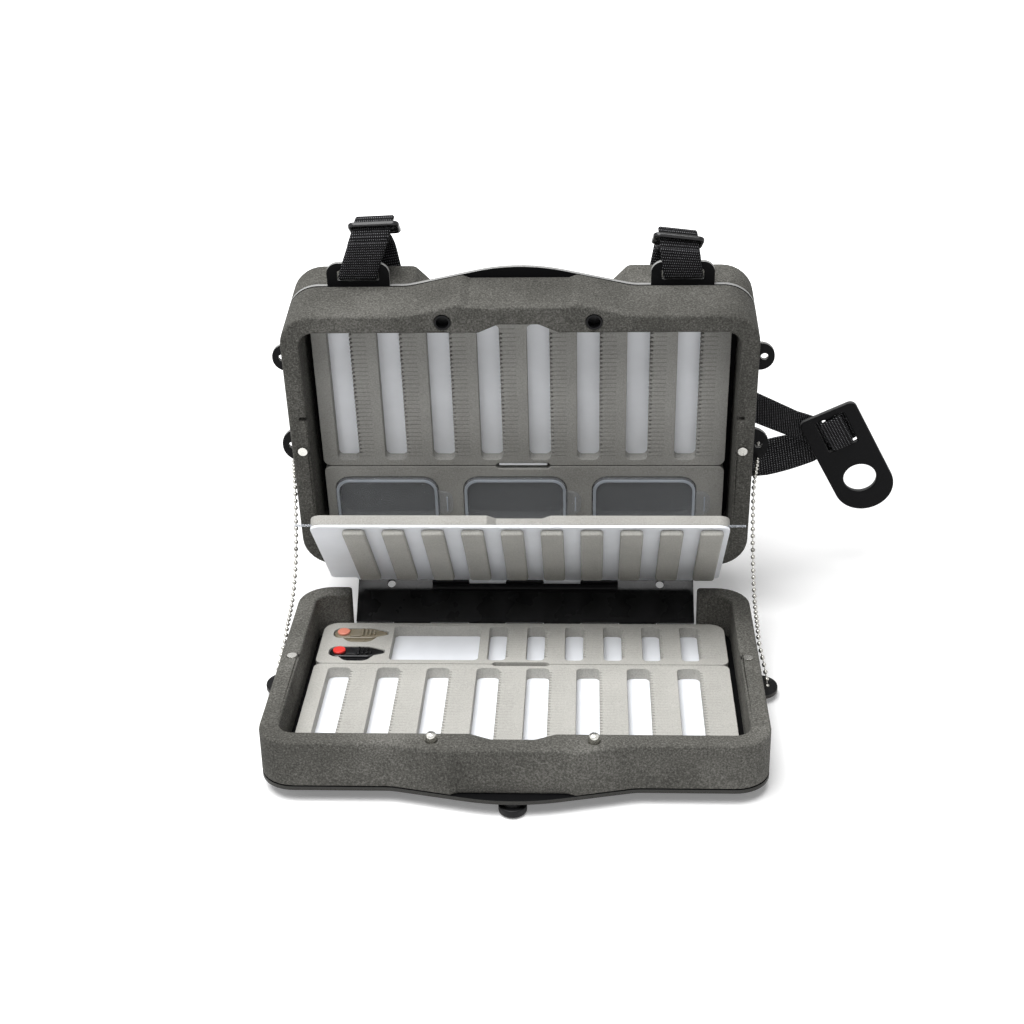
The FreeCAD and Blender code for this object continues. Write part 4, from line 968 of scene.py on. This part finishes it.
BAR_PITCH = 5.6
SLIDER_BAR = 2.8
SLIDER_HALF = 13.0
SLIDER_CORNER = 3.4
SLIDER_SIDE = 2.2
SLIDER_GAP_CORNER = 0.9
SLIDER_HALF_THICK = 1.3
SLIDER_EDGE = 0.85
SLIDER_DROP = 3.96
SLIDER_BEHIND = 8.36
SLIDER_TIP = -135.0

# Each strap: its side, the drift, top, tail end and tilt of its loop, and its run's place and low end

STRAPS = (
    ("left", -1, 9.0, 185.6, 179.4, 2.5, 78.9, 56.0),
    ("right", 1, -2.6, 177.6, 174.5, -7.0, 81.0, 17.0),
)


def webbing_piece(name, line, across, place, node):
    mesh, length = ribbon_mesh(name, line, across, WEBBING, WEBBING_THICK, place)
    piece = new_piece(name, mesh, webbing_look, "lid", node)


def loop_points(top, end_y):
    """The side view of a loop: a short end in front, round the tab's bar and up through the slider."""
    middle = (FRONT_Z + REAR_Z) / 2
    start_y = TURN_Y + LOOP_STRAIGHT
    points = [(end_y, FRONT_Z), ((end_y + TURN_Y) / 2, FRONT_Z + LOOP_BULGE), (start_y, FRONT_Z)]
    for k in range(1, TURN_STEPS):
        angle = math.pi * k / TURN_STEPS
        points.append((TURN_Y - TURN_RADIUS * math.sin(angle), middle + TURN_RADIUS * math.cos(angle)))
    points += [(start_y, REAR_Z), ((TURN_Y + top) / 2 - LOOP_LOW, REAR_Z)]
    points.append((top - LOOP_NECK, REAR_Z - LOOP_NECK_BACK))
    return points + [(top + rise, z) for rise, z in LOOP_HEAD]


def run_points(top, low_end):
    """The side view of the strap behind the lid, from under the slider down the pad's back."""
    points = [(top + rise, z) for rise, z in RUN_HEAD]
    points += [(REACH + RUN_EASE, PAD_BACK_Z - RUN_LIFT), (REACH - RUN_EASE, PAD_BACK_Z)]
    return points + [((REACH + low_end) / 2, PAD_BACK_Z), (low_end, PAD_BACK_Z)]


def add_slider(name, place, node):
    """A glossy three-bar slider with round ends."""
    half_bar = SLIDER_BAR / 2
    outer = BAR_PITCH + half_bar
    inner = SLIDER_HALF - SLIDER_SIDE
    loops = [rectangle(-SLIDER_HALF, SLIDER_HALF, -outer, outer, SLIDER_CORNER)]
    for low in (half_bar - BAR_PITCH, half_bar):
        loops.append(rectangle(-inner, inner, low, low + BAR_PITCH - SLIDER_BAR, SLIDER_GAP_CORNER))
    slab(
        name, loops, -SLIDER_HALF_THICK, SLIDER_HALF_THICK, SLIDER_EDGE, slider_look, "lid",
        node, place,
    )


for name, side, drift, top, end_y, tilt, run_half, low_end in STRAPS:
    climb = top - TURN_Y
    line = []
    sides = []
    for y, z in loop_points(top, end_y):
        rise = max(0.0, y - TURN_Y)
        angle = math.radians(tilt) * min(1.0, rise / climb)
        line.append((side * TAB_HALF + drift / climb * rise, y, z))
        sides.append((math.cos(angle), math.sin(angle), 0))
    line = smooth_line(line, WEBBING_STEPS)
    sides = smooth_line(sides, WEBBING_STEPS)
    strap = "strap_" + name
    webbing_piece(strap + "_loop", line, sides, LID, "strap_loop_" + name)
    spot = turned(LID, side * TAB_HALF + drift, top - SLIDER_DROP, -SLIDER_BEHIND, tilt)
    add_slider(strap + "_slider", turned(spot, 0, 0, 0, SLIDER_TIP, "X"), "slider_" + name)
    place = turned(LID, side * run_half, top, 0, -side * RUN_LEAN) @ Matrix.Translation((0, -top, 0))
    line = smooth_line([(0, y, z) for y, z in run_points(top, low_end)], WEBBING_STEPS)
    sides = [Vector((1, 0, 0))] * len(line)
    webbing_piece(strap + "_run", line, sides, place, "strap_run_" + name)

# Side strap and pull tab

PULL_TURN = 27.5
PULL_OUT = 44.0
PULL_RISE = 63.0
PULL_THICK = 3.0
PULL_HALF = 16.5
PULL_LENGTH = 70.5
PULL_CORNER = 4.0
PULL_ROUND_ROOM = 0.1
PULL_STEPS = 16
PULL_EDGE = 1.0
PULL_HOLE_REACH = 48.5
PULL_HOLE_RADIUS = 9.0
PULL_HOLE_STEPS = 48
WINDOW_TOP = -4.2
WINDOW_ROOM = 0.8
WINDOW_HALF = 8.5
WINDOW_BAR_HALF = 2.2
WINDOW_CORNER = 1.0
STRAND_ROOM = 0.5
STRAND_LAYERS = 1.5
STRAND_STEPS = 10
FOLD_EASE = 0.8
UPPER_MEETS = -4.0
UPPER_SHIFT = 3.0
LOWER_MEETS = -20.5
LOWER_SHIFT = -0.5
LOWER_INSET = 5.0
TURN_SHARE = 0.4
STRAND_Z = -PAD_THICK - STRAND_ROOM - STRAND_LAYERS * WEBBING_THICK
LOWER_Z = STRAND_Z - WEBBING_THICK - WEBBING_ROOM
FOLD_FRONT = PULL_THICK / 2 + WEBBING_ROOM + WEBBING_THICK / 2
FOLD_REAR = FOLD_FRONT + WEBBING_THICK + WEBBING_ROOM
FOLD_SIDE = (WINDOW_HALF + WINDOW_BAR_HALF) / 2
WINDOW_FOOT = WINDOW_TOP - WEBBING - WINDOW_ROOM
WINDOW_MIDDLE = (WINDOW_TOP + WINDOW_FOOT) / 2
PULL = turned(LID, HALF_WIDTH + PULL_OUT, PULL_RISE, STRAND_Z + FOLD_FRONT, PULL_TURN)

# Points of the strands on the lid before they reach the tab

UPPER_WAY = ((-66.0, 66.0, STRAND_Z), (40.0, 66.0, STRAND_Z), (HALF_WIDTH, 67.0, STRAND_Z))
LOWER_WAY = (
    (43.0, 27.0, LOWER_Z),
    (90.0, 27.0, LOWER_Z),
    (HALF_WIDTH, 26.5, LOWER_Z - 2.0),
    (HALF_WIDTH + 14.0, 28.0, LOWER_Z - 3.0),
)

to_lid = LID.inverted() @ PULL
pull_along = (to_lid.to_3x3() @ Vector((0, 1, 0))).normalized()


def from_pull(x, y, z):
    return to_lid @ Vector((x, y, z))


def add_strand(name, points, sides, node=None):
    """Webbing along straight runs, with the width direction turning evenly."""
    line = []
    across = []
    for k in range(len(points) - 1):
        for step in range(STRAND_STEPS):
            share = step / STRAND_STEPS
            line.append(points[k].lerp(points[k + 1], share))
            across.append(sides[k].lerp(sides[k + 1], share))
    line.append(points[-1])
    across.append(sides[-1])
    webbing_piece(name, line, across, LID, node)


up = Vector((0, 1, 0))
half_turned = (up * (1 - TURN_SHARE) + pull_along * TURN_SHARE).normalized()
outside_fold = -FOLD_SIDE - WEBBING_THICK
upper_points = [Vector(point) for point in UPPER_WAY]
upper_points.append(from_pull(-PULL_HALF, UPPER_MEETS, -FOLD_FRONT))
upper_points.append(from_pull(outside_fold, WINDOW_MIDDLE + UPPER_SHIFT, -FOLD_FRONT))
add_strand("side_strap_upper", upper_points, [up, up, up, half_turned, pull_along], "strap_side")
lower_points = [Vector(point) for point in LOWER_WAY]
lower_points.append(from_pull(-PULL_HALF, LOWER_MEETS, -FOLD_REAR))
lower_points.append(from_pull(PULL_HALF - LOWER_INSET, WINDOW_MIDDLE + LOWER_SHIFT, -FOLD_REAR))
twisted = Vector((0, 0.5, -0.866))
half_twisted = Vector((-0.1, 0.75, -0.62)).normalized()
add_strand("side_strap_lower", lower_points, [up, up, twisted, half_twisted, half_turned, pull_along])

# The fold round the tab's bar, across and through the tab

fold_way = (
    (outside_fold, -FOLD_FRONT),
    (-FOLD_SIDE, FOLD_EASE - FOLD_FRONT),
    (-FOLD_SIDE, FOLD_FRONT - FOLD_EASE),
    (FOLD_EASE - FOLD_SIDE, FOLD_FRONT),
    (FOLD_SIDE - FOLD_EASE, FOLD_FRONT),
    (FOLD_SIDE, FOLD_FRONT - FOLD_EASE),
    (FOLD_SIDE, -FOLD_FRONT),
    (FOLD_SIDE - FOLD_EASE, -FOLD_REAR),
)
fold_points = [from_pull(x, WINDOW_MIDDLE, z) for x, z in fold_way]
add_strand("side_strap_fold", fold_points, [pull_along] * len(fold_points))

pull_round = PULL_HALF - PULL_ROUND_ROOM
pull_right = [(PULL_HALF, 0, PULL_CORNER), (PULL_HALF, -PULL_LENGTH, pull_round)]
pull_left = [(-PULL_HALF, -PULL_LENGTH, pull_round), (-PULL_HALF, 0, PULL_CORNER)]
pull_loops = [
    rounded(pull_left[1:] + pull_right + pull_left[:1], PULL_STEPS),
    rectangle(-WINDOW_HALF, -WINDOW_BAR_HALF, WINDOW_FOOT, WINDOW_TOP, WINDOW_CORNER),
    rectangle(WINDOW_BAR_HALF, WINDOW_HALF, WINDOW_FOOT, WINDOW_TOP, WINDOW_CORNER),
    circle(0, -PULL_HOLE_REACH, PULL_HOLE_RADIUS, PULL_HOLE_STEPS),
]
# The pull tab's edges get a painted highlight from its paler edge tone
tab_look = plate_material("tab_black", DEEP_BLACK, TAB_EDGE_HIGHLIGHT, PULL)
half_pull = PULL_THICK / 2
slab(
    "pull_tab_moulding", pull_loops, -half_pull, half_pull, PULL_EDGE, tab_look, "lid",
    "pull_tab", PULL,
)

# Bead chains: points as distance from the case's side, reach and height on the tray

BEAD_RADIUS = 1.2
BEAD_PITCH = 3.7
BEAD_SIDES = 14
BEAD_RINGS = 9
LINK_RADIUS = 0.32
LINK_SIDES = 8
CHAIN_STEPS = 24
CHAIN_SPLIT = 48.3
CHAIN_ROUTE = (
    (6.0, -61.2, -1.9),
    (6.0, -61.2, 3.4),
    (4.4, -57.0, 12.0),
    (2.2, -50.0, 20.5),
    (2.0, -42.0, 24.6),
    (2.0, -31.0, 26.8),
    (2.0, -23.0, 29.2),
    (2.0, -15.0, 33.7),
    (2.0, -7.0, 40.5),
    (2.0, -1.5, 48.3),
    (2.0, 3.2, 57.0),
    (2.0, 7.0, 68.0),
    (2.2, 11.5, 79.0),
    (3.6, 20.0, 83.5),
    (5.2, 30.0, 85.0),
    (6.2, 38.5, 87.0),
    (6.2, 40.2, 91.5),
    (6.0, 37.5, 94.5),
    (6.0, 34.6, 94.9),
)


def even_points(line, step):
    """Points along a line, all the same length of line apart."""
    spots = [line[0]]
    left = step
    for a, b in zip(line, line[1:]):
        gap = (b - a).length
        while gap >= left:
            a = a + (b - a) * (left / gap)
            spots.append(a.copy())
            gap -= left
            left = step
        left -= gap
    return spots


def bead_chain(name, spots):
    work = bmesh.new()
    for k, spot in enumerate(spots):
        bmesh.ops.create_uvsphere(
            work,
            u_segments=BEAD_SIDES,
            v_segments=BEAD_RINGS,
            radius=BEAD_RADIUS,
            matrix=Matrix.Translation(spot),
        )
        if k:
            way = spot - spots[k - 1]
            turn = way.to_track_quat("Z", "Y").to_matrix().to_4x4()
            bmesh.ops.create_cone(
                work,
                cap_ends=True,
                segments=LINK_SIDES,
                radius1=LINK_RADIUS,
                radius2=LINK_RADIUS,
                depth=way.length,
                matrix=Matrix.Translation((spot + spots[k - 1]) / 2) @ turn,
            )
    mesh = smooth_mesh(name, work)
    mesh.transform(TRAY)
    return new_piece(name, mesh, chain_look, None)


for name, side in (("left", -1), ("right", 1)):
    route = [(side * (HALF_WIDTH + out), y, z) for out, y, z in CHAIN_ROUTE]
    spots = even_points(smooth_line(route, CHAIN_STEPS), BEAD_PITCH)
    middle = min(range(len(spots)), key=lambda k: abs(spots[k].z - CHAIN_SPLIT))
    low_chain = bead_chain("chain_" + name + "_low", spots[:middle + 1])
    high_chain = bead_chain("chain_" + name + "_high", spots[middle:])
    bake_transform(low_chain)
    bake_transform(high_chain)
    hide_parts("bead_chain_" + name)

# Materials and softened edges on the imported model's own nodes

SEAM_GAP = 0.000001
SHARP_ANGLE = 50.0
PLATE_EDGE = 0.35
SPINE_EDGE = 0.3
HINGE_BAR_EDGE = 0.2
PAGE_EDGE = 0.25
MAGNET_EDGE = 0.3
SOCKET_EDGE = 0.3
CUP_EDGE = 0.3


def finish_node(name, material, edge=0.0):
    piece = nodes[name]
    piece.data.materials.clear()
    piece.data.materials.append(material)
    if edge:
        weld = piece.modifiers.new("Join corners", "WELD")
        weld.merge_threshold = SEAM_GAP
        bevel = piece.modifiers.new("Soft edges", "BEVEL")
        bevel.width = edge * MM
        bevel.segments = EDGE_STEPS
        bevel.limit_method = "ANGLE"
        bevel.angle_limit = math.radians(SHARP_ANGLE)
        bevel.harden_normals = True


finish_node("lid_plate", lid_plate_look, PLATE_EDGE)
finish_node("tray_plate", tray_plate_look, PLATE_EDGE)
finish_node("spine_plate", gloss_look, SPINE_EDGE)
finish_node("page_hinge_bar", black_look, HINGE_BAR_EDGE)
finish_node("page_plate", white_look, PAGE_EDGE)
finish_node("page_rod", rod_look)
finish_node("tray_knob", black_look)
for name in ("tray_large_backing", "tray_small_backing", "lid_large_backing"):
    finish_node(name, white_look)
for name in ("lower_hinge_pin", "upper_hinge_pin", "page_hinge_pin"):
    finish_node(name, steel_look)
for name in ("tray_magnets", "lid_magnets"):
    finish_node(name, nickel_look, MAGNET_EDGE)
for name in ("left", "right"):
    finish_node("closure_post_" + name, nickel_look)
    finish_node("closure_socket_" + name, gloss_look, SOCKET_EDGE)
for name in CUP_NAMES:
    finish_node("cup_" + name, cup_look, CUP_EDGE)

# Threaders: a boat-shaped top with grip ribs over a thumb grip, and a round dot

GRIP_HEIGHT = 5.0
GRIP_EDGE = 0.7
THREADER_HEIGHT = 7.2
TOP_OVERLAP = 1.0
TOP_DROP = 0.9
TOP_EDGE = 0.9
RIBS = 4
RIB_START = 0.6
RIB_PITCH = 2.1
RIB_WIDTH = 1.1
RIB_HALF = 3.6
RIB_SHRINK = 0.45
RIB_DEPTH = 1.2
RIB_CORNER = 0.5
RIB_EDGE = 0.4
RIDGE_LOW_X = -5.4
RIDGE_HIGH_X = 0.2
RIDGE_OUTER = 4.3
RIDGE_INNER = 3.3
RIDGE_CORNER = 0.4
RIDGE_DROP = 0.1
RIDGE_EDGE = 0.3
DOT_MIDDLE = -9.2
DOT_RADIUS = 3.3
DOT_STEPS = 40
DOT_SINK = 1.0
DOT_RISE = 0.3
DOT_EDGE = 0.35
THREADER_LOOKS = (
    ("front_threader", slider_look, red_look, "black_plastic", "red_dot"),
    ("rear_threader", olive_look, orange_look, "olive_plastic", "orange_dot"),
)
for name, body_look, dot_look, body_slot, dot_slot in THREADER_LOOKS:
    place = TRAY @ Matrix.Translation((THREADER_MIDDLE, -THREADER_REACHES[name], tray_floor))
    grip = flipped(rounded(threader_corners(0, True)))
    top = flipped(rounded(threader_corners(0, False)))
    top_low = GRIP_HEIGHT - TOP_OVERLAP
    meshes = [
        slab_mesh("grip", [grip], 0, GRIP_HEIGHT, GRIP_EDGE, place),
        slab_mesh("top", [top], top_low, THREADER_HEIGHT - TOP_DROP, TOP_EDGE, place),
    ]
    rib_low = THREADER_HEIGHT - RIB_DEPTH
    for k in range(RIBS):
        x = RIB_START + k * RIB_PITCH
        half = RIB_HALF - RIB_SHRINK * k
        rib = rectangle(x, x + RIB_WIDTH, -half, half, RIB_CORNER)
        meshes.append(slab_mesh("rib", [rib], rib_low, THREADER_HEIGHT, RIB_EDGE, place))
    ridge = rectangle(RIDGE_LOW_X, RIDGE_HIGH_X, -RIDGE_OUTER, -RIDGE_INNER, RIDGE_CORNER)
    meshes.append(slab_mesh("ridge", [ridge], rib_low, THREADER_HEIGHT - RIDGE_DROP, RIDGE_EDGE, place))
    threader = new_piece(name + "_body", join_meshes(name, meshes), body_look, "tray", name)
    flat_normals(threader)
    dot = [circle(DOT_MIDDLE, 0, DOT_RADIUS, DOT_STEPS)]
    dot_low = THREADER_HEIGHT - DOT_SINK
    dot_high = THREADER_HEIGHT + DOT_RISE
    slab(name + "_spot", dot, dot_low, dot_high, DOT_EDGE, dot_look, "tray", name + "_dot", place)

# A pale strip in the finger notch between the lid's inserts

STRIP_NOTCH_HALF = 12.8
STRIP_NOTCH_WIDTH = 1.3
STRIP_NOTCH_CORNER = 0.3
STRIP_NOTCH_SINK = 0.2
STRIP_NOTCH_EDGE = 0.2
notch_high = INSERT_SPLIT_HIGH + STRIP_NOTCH_WIDTH
notch_loop = rectangle(-STRIP_NOTCH_HALF, STRIP_NOTCH_HALF, INSERT_SPLIT_HIGH, notch_high, STRIP_NOTCH_CORNER)
notch_top = lid_top - STRIP_NOTCH_SINK
slab("lid_notch_strip", [notch_loop], PLATE, notch_top, STRIP_NOTCH_EDGE, white_look, "lid")

# Cup covers with a raised rim and a finger tab

COVER_ROOM = 0.3
COVER_THICK = 1.2
COVER_EDGE = 0.3
COVER_TAB_HALF = 7.6
COVER_TAB_REACH = 7.8
COVER_TAB_CORNER = 5.0
RIM_RISE = 0.9
RIM_OUTSIDE = 0.3
RIM_INSIDE = 1.9
RIM_EDGE = 0.35
TAB_RIB_START = 4.4
TAB_RIB_END = 5.2
TAB_RIB_INSET = 3.0
TAB_RIB_CORNER = 0.3
TAB_RIB_EDGE = 0.2
cover_low = lid_top + COVER_ROOM
cover_top = cover_low + COVER_THICK
rim_top = cover_top + RIM_RISE
tab_low = (CUP_START + CUP_END) / 2 - COVER_TAB_HALF
tab_high = tab_low + 2 * COVER_TAB_HALF
for name, middle in zip(CUP_NAMES, CUP_MIDDLES):
    low = middle - CUP_HALF
    high = middle + CUP_HALF
    tab_end = high + COVER_TAB_REACH
    outline = [
        (low, CUP_START, CUP_CORNER),
        (high, CUP_START, CUP_CORNER),
        (high, tab_low, 0),
        (tab_end, tab_low, COVER_TAB_CORNER),
        (tab_end, tab_high, COVER_TAB_CORNER),
        (high, tab_high, 0),
        (high, CUP_END, CUP_CORNER),
        (low, CUP_END, CUP_CORNER),
    ]
    cover = "cover_" + name
    slab(
        cover, [rounded(outline)], cover_low, cover_top, COVER_EDGE, cover_look, "lid",
        "cup_" + cover,
    )
    rims = [cup_outline(middle, -inset) for inset in (RIM_OUTSIDE, RIM_INSIDE)]
    rib_low = tab_low + TAB_RIB_INSET
    rib_high = tab_high - TAB_RIB_INSET
    rib = rectangle(high + TAB_RIB_START, high + TAB_RIB_END, rib_low, rib_high, TAB_RIB_CORNER)
    meshes = [
        slab_mesh("rim", rims, cover_top, rim_top, RIM_EDGE, LID),
        slab_mesh("rib", [rib], cover_top, rim_top, TAB_RIB_EDGE, LID),
    ]
    rim_mesh = join_meshes("rim_" + name, meshes)
    # The raised rim is real; its paler plastic is a painted highlight
    rim = new_piece("cover_rim_" + name, rim_mesh, rim_highlight_look, "lid")
    flat_normals(rim)

# Floor and backdrop, in metres

HALF_FLOOR = 3.0
FADE_START = 0.3
FADE_END = 0.8
NEAR_GLOW = 0.2
SKY_LIGHT = 0.16
WHITE = (1, 1, 1, 1)


def floor_material():
    """White paper that fades to the white backdrop away from the object."""
    material, tree, shader = node_kit("floor_white", (0.9, 0.9, 0.9), 0.6, 0.0)
    fill(shader, {"Emission Color": WHITE})
    away = add(tree, "ShaderNodeVectorMath", operation="LENGTH")
    tree.links.new(object_coords(tree), away.inputs[0])
    fade = span(tree, away.outputs["Value"], FADE_START, FADE_END, NEAR_GLOW, 1.0, "SMOOTHSTEP")
    tree.links.new(product(tree, seen_rays(tree), fade), shader.inputs["Emission Strength"])
    return material


floor_mesh = bpy.data.meshes.new("floor")
corners = ((-1, -1), (1, -1), (1, 1), (-1, 1))
floor_mesh.from_pydata([(x * HALF_FLOOR, y * HALF_FLOOR, 0) for x, y in corners], [], [(0, 1, 2, 3)])
floor = put("floor", floor_mesh)
floor.data.materials.append(floor_material())

world = bpy.data.worlds.new("studio")
scene.world = world
world.use_nodes = True
tree = world.node_tree
sky = tree.nodes["Background"]
fill(sky, {"Color": WHITE})
glow = calc(tree, "MULTIPLY_ADD", seen_rays(tree), 1.0 - SKY_LIGHT, SKY_LIGHT)
tree.links.new(glow, sky.inputs["Strength"])

# Lamps: name, place, target, width and depth in metres, and power in watts

LAMPS = (
    ("overhead", (-0.26, -0.24, 1.3), (0, 0.02, 0.05), 1.3, 1.0, 31.5),
    ("front_fill", (0.5, -1.5, 0.7), (0, 0.05, 0.1), 1.2, 0.9, 1.0),
    ("side_fill", (-1.4, -0.5, 0.8), (0, 0.05, 0.1), 0.9, 0.9, 2.0),
)
for name, place, target, width, depth, power in LAMPS:
    lamp = bpy.data.lights.new(name, "AREA")
    lamp.shape = "RECTANGLE"
    lamp.size = width
    lamp.size_y = depth
    lamp.energy = power
    holder = put(name, lamp)
    holder.location = place
    holder.rotation_euler = (Vector(target) - Vector(place)).to_track_quat("-Z", "Y").to_euler()

# Camera: its place in the tray's millimetres, its angles in degrees and its lens in pixels of the image

LENS_PIXELS = 1716.73
IMAGE_PIXELS = 1024
SENSOR_WIDTH = 36.0
CLIP_START = 0.01
CAMERA_PLACE = (35.46, -818.44, 461.9)
CAMERA_PITCH = 25.52
CAMERA_YAW = -2.87
CAMERA_ROLL = -1.17
pitch, yaw, roll = (math.radians(a) for a in (CAMERA_PITCH, CAMERA_YAW, CAMERA_ROLL))
forward = Vector((math.sin(yaw) * math.cos(pitch), math.cos(yaw) * math.cos(pitch), -math.sin(pitch)))
right = Vector((math.cos(yaw), -math.sin(yaw), 0))
upward = right.cross(forward)
right_rolled = math.cos(roll) * right + math.sin(roll) * upward
up_rolled = math.cos(roll) * upward - math.sin(roll) * right
turn = Matrix((right_rolled, up_rolled, -forward)).transposed()
base_turn = Matrix.Rotation(math.radians(-NOSE_UP), 3, "X")
lens = bpy.data.cameras.new("photo_view")
lens.sensor_width = SENSOR_WIDTH
lens.lens = LENS_PIXELS * SENSOR_WIDTH / IMAGE_PIXELS
lens.clip_start = CLIP_START
camera = put("photo_view", lens)
camera.matrix_world = Matrix.Translation(TRAY @ Vector(CAMERA_PLACE)) @ (base_turn @ turn).to_4x4()
scene.camera = camera
scene.view_settings.view_transform = "Standard"
